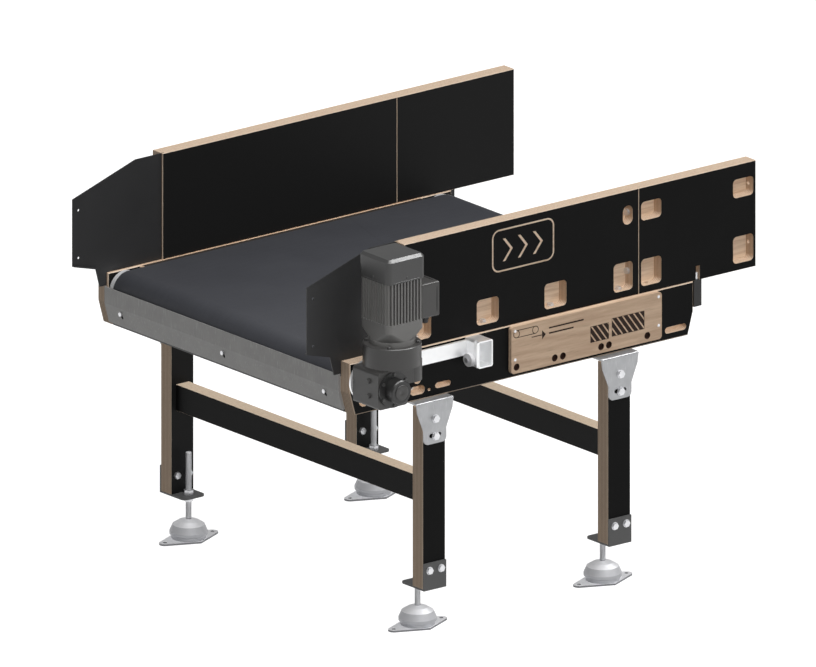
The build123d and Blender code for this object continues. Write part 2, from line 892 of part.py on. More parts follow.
def end_cover(end, name):
    """Bent sheet cover across one end: a vertical facet above and a slanting one below."""
    inner_bend, inner_foot = end_line(end, cover_offset)
    outer_bend, outer_foot = end_line(end, cover_offset + cover_sheet)
    bend_z = plate_base + end_slant_height
    top = plate_base + cover_top
    bottom = plate_base + cover_bottom
    rise = cover_bottom / end_slant_height
    low_inner = inner_foot + (inner_bend - inner_foot) * rise
    low_outer = outer_foot + (outer_bend - outer_foot) * rise
    half = inner + cover_overlap
    with BuildPart() as cover:
        with BuildSketch(Plane.XZ.offset(-half)):
            with BuildLine():
                Polyline(
                    (inner_bend, top),
                    (outer_bend, top),
                    (outer_bend, bend_z),
                    (low_outer, bottom),
                    (low_inner, bottom),
                    (inner_bend, bend_z),
                    close=True,
                )
            make_face()
        extrude(amount=2 * half)
        # side returns that sit on the ends of the plates
        for side in (NEAR, FAR):
            plane, depth = slab(side, half - cover_sheet, half)
            with BuildSketch(plane) as return_outline:
                with BuildLine():
                    Polyline(
                        (end * plate_end, top),
                        (outer_bend, top),
                        (outer_bend, bend_z),
                        (low_outer, bottom),
                        (end * (plate_end - end_slant * (1 - rise)), bottom),
                        (end * plate_end, bend_z),
                        close=True,
                    )
                make_face()
            extrude(return_outline.sketch, amount=depth)
        for y in (-keyhole_position, 0, keyhole_position):
            hole_x = sorted((inner_foot - end * cover_sheet, outer_bend + end * cover_sheet))
            low_z = keyhole_z - keyhole_length
            long_rod(y, keyhole_z, keyhole_narrow, hole_x, Mode.SUBTRACT)
            long_rod(y, low_z, keyhole_wide, hole_x, Mode.SUBTRACT)
            block(hole_x, (y - keyhole_narrow, y + keyhole_narrow), (low_z, keyhole_z), Mode.SUBTRACT)
    save(cover, name)


end_cover(-1, "drive_end_cover")
end_cover(1, "tail_end_cover")


# ---- drive drum ----

with BuildPart() as drive_drum:
    cross_rod(-drum_x, drum_z, drum_radius, (-drum_face / 2, drum_face / 2))
    bore = drum_radius - drum_wall
    cross_rod(-drum_x, drum_z, bore, (-drum_face / 2, drum_face / 2), Mode.SUBTRACT)
    for side in (NEAR, FAR):
        disc_end = drum_face / 2 - drum_disc_inset
        disc_y = sided(side, disc_end - drum_disc, disc_end)
        cross_rod(-drum_x, drum_z, bore, disc_y)
    cross_rod(-drum_x, drum_z, shaft_radius, (-drum_face / 2, drum_face / 2), Mode.SUBTRACT)
save(drive_drum, "drive_drum")

with BuildPart() as drive_shaft:
    shaft_end = inner + bearing_width + shaft_end_reach
    cross_rod(-drum_x, drum_z, shaft_radius, (-gearbox_front + shaft_end_gap, shaft_end))
save(drive_shaft, "drive_shaft")

with BuildPart() as drive_bearings:
    for side in (NEAR, FAR):
        seat = sided(side, inner, inner + bearing_width)
        cross_rod(-drum_x, drum_z, bearing_radius, seat)
        cross_rod(-drum_x, drum_z, shaft_radius + running_gap, seat, Mode.SUBTRACT)
save(drive_bearings, "drive_bearings")


# ---- tail drum, its axle and its take-up blocks ----

with BuildPart() as tail_drum:
    cross_rod(drum_x, drum_z, drum_radius, (-drum_face / 2, drum_face / 2))
    bore = drum_radius - drum_wall
    cross_rod(drum_x, drum_z, bore, (-drum_face / 2, drum_face / 2), Mode.SUBTRACT)
    for side in (NEAR, FAR):
        disc_y = sided(side, drum_face / 2 - tail_bearing_width, drum_face / 2)
        cross_rod(drum_x, drum_z, bore, disc_y)
        cross_rod(drum_x, drum_z, tail_bearing_radius, disc_y, Mode.SUBTRACT)
save(tail_drum, "tail_drum")

with BuildPart() as tail_bearings:
    for side in (NEAR, FAR):
        seat = sided(side, drum_face / 2 - tail_bearing_width, drum_face / 2)
        cross_rod(drum_x, drum_z, tail_bearing_radius, seat)
        cross_rod(drum_x, drum_z, tail_axle_radius + running_gap, seat, Mode.SUBTRACT)
save(tail_bearings, "tail_bearings")

with BuildPart() as fixed_axles:
    axle_end = inner + block_depth
    cross_rod(drum_x, drum_z, tail_axle_radius, (-axle_end, axle_end))
    for x in (-roller_position, roller_position):
        cross_rod(x, return_z, roller_axle_radius, (-screw_pocket_floor, screw_pocket_floor))
save(fixed_axles, "fixed_axles")

with BuildPart() as takeup_blocks:
    for side in (NEAR, FAR):
        block_x = (drum_x - block_width / 2, drum_x + block_width / 2)
        block_y = sided(side, inner, inner + block_depth)
        block(block_x, block_y, (drum_z - block_height / 2, drum_z + block_height / 2))
        cross_rod(drum_x, drum_z, tail_axle_radius, block_y, Mode.SUBTRACT)
        takeup_y = side * (inner + block_depth / 2)
        takeup_x = (drum_x, drum_x + block_width / 2)
        long_rod(takeup_y, drum_z, takeup_radius, takeup_x, Mode.SUBTRACT)
save(takeup_blocks, "takeup_blocks")


# ---- return rollers ----

def return_roller(x, name):
    """A light tube roller that turns on a fixed axle under the return strand."""
    face = (-roller_face / 2, roller_face / 2)
    with BuildPart() as roller:
        cross_rod(x, return_z, roller_radius, face)
        cross_rod(x, return_z, roller_radius - roller_wall, face, Mode.SUBTRACT)
        for side in (NEAR, FAR):
            plug = sided(side, roller_face / 2 - roller_plug, roller_face / 2)
            cross_rod(x, return_z, roller_radius - roller_wall, plug)
        cross_rod(x, return_z, roller_axle_radius + running_gap, face, Mode.SUBTRACT)
    save(roller, name)


return_roller(-roller_position, "return_roller_drive")
return_roller(roller_position, "return_roller_tail")


# ---- belt ----

with BuildPart() as belt:
    with BuildSketch(Plane.XZ.offset(-belt_width / 2)):
        with Locations((0, drum_z)):
            SlotCenterToCenter(2 * drum_x, 2 * belt_outer)
            SlotCenterToCenter(2 * drum_x, 2 * belt_inner, mode=Mode.SUBTRACT)
    extrude(amount=belt_width)
save(belt, "belt")


# ---- top leg brackets with their pivot bolts ----

leg_head = (19, 7.5, 12, 2.5)
bolt_tip = 1
leg_nut_height = 10

with BuildPart() as leg_top_brackets:
    for side in (NEAR, FAR):
        for x in (-leg_position, leg_position):
            plane, depth = slab(side, bracket_inner, bracket_outer)
            half_top = bracket_top_width / 2
            half_low = leg_width / 2
            with BuildSketch(plane) as flange:
                with BuildLine():
                    Polyline(
                        (x - half_top, plate_base),
                        (x + half_top, plate_base),
                        (x + half_top - bracket_taper, plate_base - bracket_shoulder),
                        (x + half_low, bracket_bottom + bracket_waist),
                        (x + half_low, bracket_bottom),
                        (x - half_low, bracket_bottom),
                        (x - half_low, bracket_bottom + bracket_waist),
                        (x - half_top + bracket_taper, plate_base - bracket_shoulder),
                        close=True,
                    )
                make_face()
                low_corners = flange.vertices().group_by(Axis.Y)[0]
                fillet(low_corners, radius=bracket_corner)
                with Locations((x, pivot_height)):
                    Circle(leg_bolt_radius + hole_clearance, mode=Mode.SUBTRACT)
                with BuildLine(mode=Mode.PRIVATE) as slot_line:
                    start = 270 - slot_half_angle
                    CenterArc((x, pivot_height), slot_bolt_drop, start, 2 * slot_half_angle)
                SlotArc(slot_line.edge(), 2 * (leg_bolt_radius + hole_clearance), mode=Mode.SUBTRACT)
            extrude(flange.sketch, amount=depth)
            shelf_x = (x - half_top, x + half_top)
            shelf_z = (plate_base - bracket_sheet, plate_base)
            block(shelf_x, sided(side, inner + 3, bracket_outer), shelf_z)
            for hole_x in (x - bracket_screw_offset, x + bracket_screw_offset):
                hole = bracket_screw_radius + hole_clearance
                upright(hole_x, side * bracket_screw_line, hole, shelf_z, Mode.SUBTRACT)
    bend_edges = [
        edge
        for edge in leg_top_brackets.edges().filter_by(Axis.X)
        if abs(abs(edge.center().Y) - bracket_outer) < 0.01 and abs(edge.center().Z - plate_base) < 0.01
    ]
    fillet(bend_edges, radius=bracket_bend)
save(leg_top_brackets, "leg_top_brackets")

with BuildPart() as leg_pivot_bolts:
    for side in (NEAR, FAR):
        for x in (-leg_position, leg_position):
            through = bracket_outer - leg_inner + leg_gap + leg_nut_height
            head = outward(side, x, bracket_outer, pivot_height)
            screw(head, leg_bolt_radius, through, *leg_head)
            tip = inward(side, x, leg_inner - leg_gap, pivot_height)
            nut(tip, leg_bolt_radius, leg_head[0], leg_nut_height - bolt_tip)
save(leg_pivot_bolts, "leg_pivot_bolts")


# ---- leg frames ----

def foot_bolt_xs(centre):
    """X of the two bolts that hold a foot bracket to its leg."""
    return (centre - foot_bolt_pitch / 2, centre + foot_bolt_pitch / 2)


foot_bolt_radius = 5
foot_nut_height = 8
foot_bolt_head = (17, 6.5, 11, 2)
lock_nut_height = 13
lock_nut_width = 24
rod_gap = 0.05
rod_hole_gap = 0.5
rod_chamfer = 1.2
leg_chamfer = 1


def leg_frame(centre, end_name):
    """Two legs, their cross beam, foot brackets and bolts, at one end."""
    half = leg_width / 2
    with BuildPart() as legs:
        for side in (NEAR, FAR):
            block((centre - half, centre + half), sided(side, leg_inner, leg_outer), (leg_bottom, leg_top))
        chamfer(legs.edges().filter_by(Axis.Z), length=leg_chamfer)
        for side in (NEAR, FAR):
            span = sided(side, leg_inner, leg_outer)
            cross_rod(centre, pivot_height, leg_bolt_radius + running_gap, span, Mode.SUBTRACT)
            cross_rod(centre, slot_bolt_z, leg_bolt_radius, span, Mode.SUBTRACT)
            for x in foot_bolt_xs(centre):
                cross_rod(x, foot_bolt_height, foot_bolt_radius, span, Mode.SUBTRACT)
    save(legs, f"legs_{end_name}")

    with BuildPart() as beam:
        beam_x = (centre - ply / 2, centre + ply / 2)
        block(beam_x, (-leg_inner, leg_inner), (beam_bottom, beam_bottom + beam_height))
        chamfer(beam.edges().filter_by(Axis.Y), length=leg_chamfer)
    save(beam, f"beam_{end_name}")

    with BuildPart() as brackets:
        low = foot_bracket_bottom
        for side in (NEAR, FAR):
            outer_y = leg_outer + bracket_sheet
            flange_y = sided(side, leg_outer, outer_y)
            block((centre - half, centre + half), flange_y, (low, low + foot_bracket_height))
            shelf_y = sided(side, outer_y - foot_bracket_reach, outer_y)
            block((centre - half, centre + half), shelf_y, (low, leg_bottom))
        corners = [
            edge
            for edge in brackets.edges().filter_by(Axis.Z)
            if abs(abs(edge.center().Y) - (leg_outer + bracket_sheet - foot_bracket_reach)) < 0.01
        ]
        fillet(corners, radius=foot_bracket_corner)
        for side in (NEAR, FAR):
            upright(centre, side * foot_line, rod_radius + rod_hole_gap, (low, leg_bottom), Mode.SUBTRACT)
            for x in foot_bolt_xs(centre):
                flange_y = sided(side, leg_outer, leg_outer + bracket_sheet)
                cross_rod(x, foot_bolt_height, foot_bolt_radius, flange_y, Mode.SUBTRACT)
    save(brackets, f"foot_brackets_{end_name}")

    with BuildPart() as bolts:
        for side in (NEAR, FAR):
            through = bracket_outer + leg_gap - leg_inner + leg_nut_height
            head = outward(side, centre, bracket_outer + leg_gap, slot_bolt_z)
            screw(head, leg_bolt_radius, through, *leg_head)
            tip = inward(side, centre, leg_inner, slot_bolt_z)
            nut(tip, leg_bolt_radius, leg_head[0], leg_nut_height - bolt_tip)
            for x in foot_bolt_xs(centre):
                head = outward(side, x, leg_outer + bracket_sheet, foot_bolt_height)
                through = ply + bracket_sheet + foot_nut_height + 2 * bolt_tip
                screw(head, foot_bolt_radius, through, *foot_bolt_head)
                tip = inward(side, x, leg_inner, foot_bolt_height)
                nut(tip, foot_bolt_radius, foot_bolt_head[0], foot_nut_height)
            above = Plane(origin=(centre, side * foot_line, leg_bottom), x_dir=(1, 0, 0), z_dir=(0, 0, 1))
            under = (centre, side * foot_line, foot_bracket_bottom)
            below = Plane(origin=under, x_dir=(1, 0, 0), z_dir=(0, 0, -1))
            nut(above, rod_radius + rod_gap, lock_nut_width, lock_nut_height)
            nut(below, rod_radius + rod_gap, lock_nut_width, lock_nut_height)
    save(bolts, f"leg_bolts_{end_name}")


leg_frame(-leg_position, "drive")
leg_frame(leg_position, "tail")


# ---- levelling feet ----

def levelling_foot(centre, side, name):
    """A levelling foot: anchor plate, bell and threaded rod, as three solids."""
    y = side * foot_line
    bell_top = base_plate + bell_height
    half_length = base_length / 2
    half_width = base_width / 2
    tangent_x = half_length - base_corner * base_tangent_back
    tangent_y = base_corner * base_tangent_side
    with BuildPart() as foot:
        with BuildSketch(Plane(origin=(centre, y, 0))):
            with Locations((-half_length + base_corner, 0), (half_length - base_corner, 0)):
                Circle(base_corner)
            with BuildLine():
                Polyline(
                    (-tangent_x, tangent_y),
                    (0, half_width),
                    (tangent_x, tangent_y),
                    (tangent_x, -tangent_y),
                    (0, -half_width),
                    (-tangent_x, -tangent_y),
                    close=True,
                )
            make_face()
            with Locations((-anchor_spacing / 2, 0), (anchor_spacing / 2, 0)):
                Circle(anchor_radius, mode=Mode.SUBTRACT)
        extrude(amount=base_plate)
    with BuildPart() as bell:
        with BuildSketch(Plane(origin=(centre, y, 0), x_dir=(1, 0, 0), z_dir=(0, -1, 0))):
            with BuildLine():
                Polyline(
                    (0, base_plate),
                    (bell_base_radius, base_plate),
                    (bell_base_radius + bell_draft, base_plate + bell_rim_low),
                    (bell_radius, base_plate + bell_rim_low + bell_rim_lip),
                    (bell_radius, base_plate + bell_rim_high),
                    (bell_shoulder_radius, bell_top - bell_shoulder_drop),
                    (bell_crown_radius, bell_top - bell_crown_drop),
                    (bell_neck_radius, bell_top),
                    (0, bell_top),
                    close=True,
                )
            make_face()
        revolve(axis=Axis((centre, y, 0), (0, 0, 1)))
        upright(centre, y, rod_radius, (bell_top - rod_depth, bell_top), Mode.SUBTRACT)
    with BuildPart() as rod:
        upright(centre, y, rod_radius, (bell_top - rod_depth, rod_top))
        chamfer(rod.edges().group_by(Axis.Z)[-1], length=rod_chamfer)
    foot.part = Compound(children=[foot.part, bell.part, rod.part])
    save(foot, name)


for end_name, centre in (("drive", -leg_position), ("tail", leg_position)):
    levelling_foot(centre, NEAR, f"foot_{end_name}_near")
    levelling_foot(centre, FAR, f"foot_{end_name}_far")


# ---- gearbox ----

gearbox_low = drum_z - gearbox_half
gearbox_high = drum_z + gearbox_half + gearbox_roof
gearbox_left = -drum_x - gearbox_half
gearbox_right = -drum_x + gearbox_half
worm_bottom = gearbox_low + worm_floor
gear_z = (neck_top - gear_drop[0], neck_top - gear_drop[1])
adapter_top = neck_top + adapter_height

with BuildPart() as gearbox_housing:
    box_x = (gearbox_left, gearbox_right)
    box_y = (-gearbox_front, -gearbox_back)
    block(box_x, box_y, (gearbox_low, gearbox_high))
    fillet(gearbox_housing.edges().filter_by(Axis.Y), radius=gearbox_corner)
    upright(motor_x, motor_y, neck_radius, (drum_z + neck_overlap, neck_top))
    upright(motor_x + case_offset, motor_y, case_radius, (drum_z + case_rise, neck_top))
    upright(worm_x, motor_y, boss_radius, (gearbox_low, drum_z + boss_rise))
    # flat in front of the neck, where the end cap's flange sits
    flat_y = (-gearbox_front - neck_radius, -gearbox_front)
    neck_x = (motor_x - neck_radius, motor_x + neck_radius)
    block(neck_x, flat_y, (drum_z, drum_z + cap_flange_radius + cap_clearance), Mode.SUBTRACT)
    wall = gearbox_wall
    cavity_x = (gearbox_left + wall, gearbox_right - wall)
    cavity_y = (-gearbox_front + wall, -gearbox_back - wall)
    block(cavity_x, cavity_y, (gearbox_low + wall, gearbox_high - wall), Mode.SUBTRACT)
    upright(motor_x, motor_y, neck_hollow_radius, (drum_z + neck_hollow, neck_top), Mode.SUBTRACT)
    boss_hollow_z = (gearbox_low + wall + boss_floor, drum_z + boss_rise + wall)
    upright(worm_x, motor_y, boss_radius - wall, boss_hollow_z, Mode.SUBTRACT)
    upright(worm_x, motor_y, worm_shaft_radius + running_gap, (worm_bottom, drum_z), Mode.SUBTRACT)
    cross_rod(-drum_x, drum_z, sleeve_radius + running_gap, box_y, Mode.SUBTRACT)
save(gearbox_housing, "gearbox_housing")

with BuildPart() as gearbox_end_cap:
    cap_flange_y = (-gearbox_front - cap_flange, -gearbox_front)
    cup_y = (-gearbox_front - cap_reach, -gearbox_front)
    cross_rod(-drum_x, drum_z, cap_flange_radius, cap_flange_y)
    cross_rod(-drum_x, drum_z, cap_radius, cup_y)
    front_rim = gearbox_end_cap.edges().group_by(Axis.Y)[0]
    chamfer(front_rim, length=cap_chamfer)
    hollow_y = (-gearbox_front - cap_reach + cap_wall, -gearbox_front)
    cross_rod(-drum_x, drum_z, cap_radius - cap_wall, hollow_y, Mode.SUBTRACT)
    for place in cap_screw_places():
        cross_rod(*place, small_screw_radius, cap_flange_y, Mode.SUBTRACT)
save(gearbox_end_cap, "gearbox_end_cap")

with BuildPart() as worm_wheel:
    sleeve_y = (-gearbox_front + sleeve_end_gap, -gearbox_back - sleeve_end_gap)
    cross_rod(-drum_x, drum_z, sleeve_radius, sleeve_y)
    cross_rod(-drum_x, drum_z, wheel_radius, (motor_y - wheel_width / 2, motor_y + wheel_width / 2))
    cross_rod(-drum_x, drum_z, shaft_radius, sleeve_y, Mode.SUBTRACT)
save(worm_wheel, "worm_wheel")

with BuildPart() as worm_shaft:
    shaft_z = (worm_bottom + worm_end_gap, neck_top + worm_seat - worm_end_gap)
    upright(worm_x, motor_y, worm_shaft_radius, shaft_z)
    upright(worm_x, motor_y, worm_radius, (drum_z - worm_half_length, drum_z + worm_half_length))
    upright(worm_x, motor_y, gear_radius, gear_z)
save(worm_shaft, "worm_shaft")


# ---- motor ----

shield_top = adapter_top + shield_height
taper_top = shield_top + taper_height
fins_bottom = taper_top + ring_height

with BuildPart() as motor_adapter:
    upright(motor_x, motor_y, adapter_radius, (neck_top, adapter_top))
    chamfer(motor_adapter.edges().group_by(Axis.Z)[-1], length=adapter_chamfer)
    cavity_z = (neck_top + adapter_floor, adapter_top - adapter_ceiling)
    upright(motor_x, motor_y, adapter_radius - adapter_wall, cavity_z, Mode.SUBTRACT)
    pinion_hole = pinion_shaft_radius + running_gap
    upright(motor_x, motor_y, pinion_hole, (neck_top, neck_top + adapter_floor), Mode.SUBTRACT)
    shaft_hole = motor_shaft_radius + running_gap
    upright(motor_x, motor_y, shaft_hole, (adapter_top - adapter_ceiling, adapter_top), Mode.SUBTRACT)
    worm_hole = worm_shaft_radius + running_gap
    upright(worm_x, motor_y, worm_hole, (neck_top, neck_top + worm_seat), Mode.SUBTRACT)
save(motor_adapter, "motor_adapter")


def motor_plane(height):
    """A level plane centred on the motor's axis."""
    return Plane(origin=(motor_x, motor_y, height))


with BuildPart() as motor_housing:
    upright(motor_x, motor_y, shield_radius, (adapter_top, shield_top))
    with BuildSketch(motor_plane(shield_top)) as taper_low:
        taper_width = 2 * (shield_radius - taper_inset)
        RectangleRounded(taper_width, taper_width, shield_radius - 2 * taper_inset)
    with BuildSketch(motor_plane(taper_top)) as taper_high:
        RectangleRounded(fin_envelope, fin_envelope, fin_corner)
    loft([taper_low.sketch, taper_high.sketch])
    with BuildSketch(motor_plane(taper_top)) as solid_ring:
        RectangleRounded(fin_envelope, fin_envelope, fin_corner)
    extrude(solid_ring.sketch, amount=fins_bottom - taper_top)
    with BuildSketch(motor_plane(fins_bottom)) as finned:
        RectangleRounded(fin_envelope, fin_envelope, fin_corner)
        reach = fin_envelope / 2 - fin_depth / 2
        with Locations((0, reach), (0, -reach)):
            with GridLocations(fin_pitch, 0, fin_count, 1):
                Rectangle(fin_gap, fin_depth, mode=Mode.SUBTRACT)
        with Locations((reach, 0), (-reach, 0)):
            with GridLocations(0, fin_pitch, 1, fin_count):
                Rectangle(fin_depth, fin_gap, mode=Mode.SUBTRACT)
    extrude(finned.sketch, amount=fan_cover_bottom - fins_bottom)
    bore_z = (shield_top, fan_cover_bottom - motor_end_wall)
    upright(motor_x, motor_y, stator_radius, bore_z, Mode.SUBTRACT)
    upright(motor_x, motor_y, shaft_hole, (adapter_top, fan_cover_bottom), Mode.SUBTRACT)
save(motor_housing, "motor_housing")

with BuildPart() as motor_stator:
    upright(motor_x, motor_y, stator_radius, stator_z)
    upright(motor_x, motor_y, rotor_radius + air_gap, stator_z, Mode.SUBTRACT)
save(motor_stator, "motor_stator")

with BuildPart() as motor_rotor:
    step_z = [neck_top + adapter_floor + rise for rise in shaft_step]
    upright(motor_x, motor_y, pinion_shaft_radius, (gear_z[0] - rotor_end_gap, step_z[1]))
    upright(motor_x, motor_y, pinion_radius, gear_z)
    upright(motor_x, motor_y, motor_shaft_radius, (step_z[0], fan_z[1]))
    upright(motor_x, motor_y, rotor_radius, stator_z)
save(motor_rotor, "motor_rotor")

with BuildPart() as cooling_fan:
    hub_radius = motor_shaft_radius + fan_hub_wall
    upright(motor_x, motor_y, hub_radius, fan_z)
    upright(motor_x, motor_y, fan_radius, (fan_z[0], fan_z[0] + fan_sheet))
    with Locations(Location((motor_x, motor_y, (fan_z[0] + fan_z[1]) / 2))):
        with PolarLocations((hub_radius + fan_radius - fan_blade_overlap) / 2, fan_blades):
            Box(fan_radius - hub_radius + fan_blade_overlap, fan_sheet, fan_height)
    upright(motor_x, motor_y, motor_shaft_radius, fan_z, Mode.SUBTRACT)
save(cooling_fan, "cooling_fan")

with BuildPart() as fan_cover:
    with BuildSketch(motor_plane(fan_cover_bottom)) as cover_outline:
        RectangleRounded(fan_cover_width, fan_cover_width, fan_cover_corner)
    extrude(cover_outline.sketch, amount=motor_top - fan_cover_bottom)
    chamfer(fan_cover.faces().sort_by(Axis.Z)[-1].edges(), length=fan_cover_chamfer)
    with BuildSketch(motor_plane(fan_cover_bottom)) as cover_inside:
        inside = fan_cover_width - 2 * fan_cover_wall
        RectangleRounded(inside, inside, fan_cover_corner - fan_cover_wall)
    inside_height = motor_top - fan_cover_bottom - fan_cover_chamfer
    extrude(cover_inside.sketch, amount=inside_height, mode=Mode.SUBTRACT)
save(fan_cover, "fan_cover")


# ---- terminal box ----

box_start = motor_x + fin_envelope / 2
box_pad = terminal_pad
box_y = (motor_y - terminal_width / 2, motor_y + terminal_width / 2)

with BuildPart() as terminal_box:
    block((box_start + box_pad, terminal_end), box_y, terminal_z)
    fillet(terminal_box.edges().filter_by(Axis.X), radius=terminal_corner)
    wall = terminal_wall
    hollow_y = (box_y[0] + wall, box_y[1] - wall)
    hollow_z = (terminal_z[0] + wall, terminal_z[1] - wall)
    block((box_start + box_pad + wall, terminal_end), hollow_y, hollow_z, Mode.SUBTRACT)
    pad_y = (motor_y - terminal_pad_width / 2, motor_y + terminal_pad_width / 2)
    pad_z = (terminal_z[0] + terminal_pad_inset, terminal_z[1] - terminal_pad_inset)
    block((box_start, box_start + box_pad), pad_y, pad_z)
    upright(gland_x, gland_y, gland_radius, (terminal_z[0], terminal_z[0] + wall), Mode.SUBTRACT)
save(terminal_box, "terminal_box")

with BuildPart() as terminal_lid:
    block((terminal_end, terminal_end + lid_thickness), box_y, terminal_z)
    fillet(terminal_lid.edges().filter_by(Axis.X), radius=terminal_corner)
    chamfer(terminal_lid.faces().sort_by(Axis.X)[-1].edges(), length=lid_chamfer)
    for y, z in lid_screw_places():
        lid_x = (terminal_end, terminal_end + lid_thickness)
        long_rod(y, z, small_screw_radius, lid_x, Mode.SUBTRACT)
save(terminal_lid, "terminal_lid")

with BuildPart() as cable_gland:
    gland_plane = Plane(origin=(gland_x, gland_y, terminal_z[0]), x_dir=(1, 0, 0), z_dir=(0, 0, -1))
    nut(gland_plane, gland_bore, gland_nut_width, gland_nut_height)
    upright(gland_x, gland_y, gland_radius, (terminal_z[0], terminal_z[0] + terminal_wall))
    dome_top = terminal_z[0] - gland_nut_height
    dome_bottom = dome_top - gland_dome_height
    upright(gland_x, gland_y, gland_dome_radius, (dome_bottom, dome_top))
    gland_z = (dome_bottom, terminal_z[0] + terminal_wall)
    upright(gland_x, gland_y, gland_bore, gland_z, Mode.SUBTRACT)
save(cable_gland, "cable_gland")


# ---- torque arm ----

with BuildPart() as torque_arm:
    arm_plane, arm_depth = slab(NEAR, arm_inner, arm_outer)
    arm_tab_x = tube_position - arm_tab
    with BuildSketch(arm_plane):
        with Locations((-drum_x, drum_z)):
            Circle(arm_ring_radius)
        arm_length = tube_position + drum_x
        with Locations((-drum_x + arm_length / 2, arm_bar_bottom + arm_bar_height / 2)):
            Rectangle(arm_length, arm_bar_height)
        with Locations((-drum_x, drum_z)):
            Circle(arm_bore, mode=Mode.SUBTRACT)
            with PolarLocations(arm_bolt_circle, 4, start_angle=45):
                Circle(small_screw_radius, mode=Mode.SUBTRACT)
    extrude(amount=arm_depth)
    tab_z = (arm_bolt_height - buffer_radius, arm_bar_bottom + arm_bar_height)
    block((arm_tab_x, tube_position), (-outer - tube_length, -arm_inner), tab_z)
    long_rod(arm_bolt_y, arm_bolt_height, arm_bolt_radius, (arm_tab_x, tube_position), Mode.SUBTRACT)
save(torque_arm, "torque_arm")

with BuildPart() as torque_buffer:
    buffer_x = (arm_tab_x - buffer_length, arm_tab_x)
    long_rod(arm_bolt_y, arm_bolt_height, buffer_radius, buffer_x)
    fillet(torque_buffer.edges().filter_by(GeomType.CIRCLE), radius=buffer_fillet)
    long_rod(arm_bolt_y, arm_bolt_height, arm_bolt_radius, buffer_x, Mode.SUBTRACT)
save(torque_buffer, "torque_buffer")

with BuildPart() as torque_bracket:
    tube_x = (tube_position, tube_position + tube_width)
    tube_z = (tube_bottom, tube_bottom + tube_height)
    block(tube_x, (-outer - tube_length, -outer), tube_z)
    fillet(torque_bracket.edges().filter_by(Axis.Y), radius=tube_corner)
    hollow_x = (tube_x[0] + tube_wall, tube_x[1] - tube_wall)
    hollow_z = (tube_z[0] + tube_wall, tube_z[1] - tube_wall)
    block(hollow_x, (-outer - tube_length, -outer - tube_wall), hollow_z, Mode.SUBTRACT)
    long_rod(arm_bolt_y, arm_bolt_height, arm_bolt_radius, (tube_x[0], hollow_x[0]), Mode.SUBTRACT)
    for x in tube_screw_xs():
        cross_rod(x, tube_screw_z, bracket_screw_radius, (-outer - tube_wall, -outer), Mode.SUBTRACT)
save(torque_bracket, "torque_bracket")


# ---- fasteners ----

with BuildPart() as drive_fasteners:
    for x, z in cap_screw_places():
        head = outward(NEAR, x, gearbox_front + cap_flange, z)
        screw(head, small_screw_radius, cap_flange, *small_head)
    for y, z in lid_screw_places():
        head = Plane(origin=(terminal_end + lid_thickness, y, z), x_dir=(0, 1, 0), z_dir=(1, 0, 0))
        screw(head, small_screw_radius, lid_thickness, *lid_head)
    for place in arm_screw_places():
        head = inward(NEAR, place[0], arm_inner, place[1])
        screw(head, small_screw_radius, arm_sheet, *small_head)
    bolt_end = buffer_length + arm_tab + tube_wall + arm_bolt_tail
    start = (arm_tab_x - buffer_length, arm_bolt_y, arm_bolt_height)
    head = Plane(origin=start, x_dir=(0, 1, 0), z_dir=(-1, 0, 0))
    screw(head, arm_bolt_radius, bolt_end, *middle_head)
    inside = (tube_position + tube_wall, arm_bolt_y, arm_bolt_height)
    tail = Plane(origin=inside, x_dir=(0, 1, 0), z_dir=(1, 0, 0))
    nut(tail, arm_bolt_radius, middle_head[0], arm_nut_height)
    for x in tube_screw_xs():
        head = outward(NEAR, x, outer + tube_wall, tube_screw_z)
        screw(head, bracket_screw_radius, tube_wall + tube_screw_depth, *bracket_head)
save(drive_fasteners, "drive_fasteners")

with BuildPart() as guard_bolts:
    for side in (NEAR, FAR):
        for x in guard_bolt_xs:
            head = Plane(origin=(x, side * middle, guard_bolt_z), x_dir=(1, 0, 0), z_dir=(0, 0, 1))
            screw(head, guard_bolt_radius, guard_bolt_length, *guard_head)
        for z in (low_seam_z, high_seam_z):
            start = seam - seam_wall - seam_head_room
            finish = seam + seam_wall
            head = Plane(origin=(start, side * middle, z), x_dir=(0, 1, 0), z_dir=(-1, 0, 0))
            screw(head, guard_bolt_radius, finish - start + seam_bolt_tail, *seam_head)
            tail = Plane(origin=(finish, side * middle, z), x_dir=(0, 1, 0), z_dir=(1, 0, 0))
            nut(tail, guard_bolt_radius, guard_head[0], guard_nut_height)
        head = Plane(origin=(bar_x, side * bar_screw_line, plate_top), x_dir=(1, 0, 0), z_dir=(0, 0, 1))
        screw(head, guard_bolt_radius, bar_screw_length, *bar_head)
save(guard_bolts, "guard_bolts")

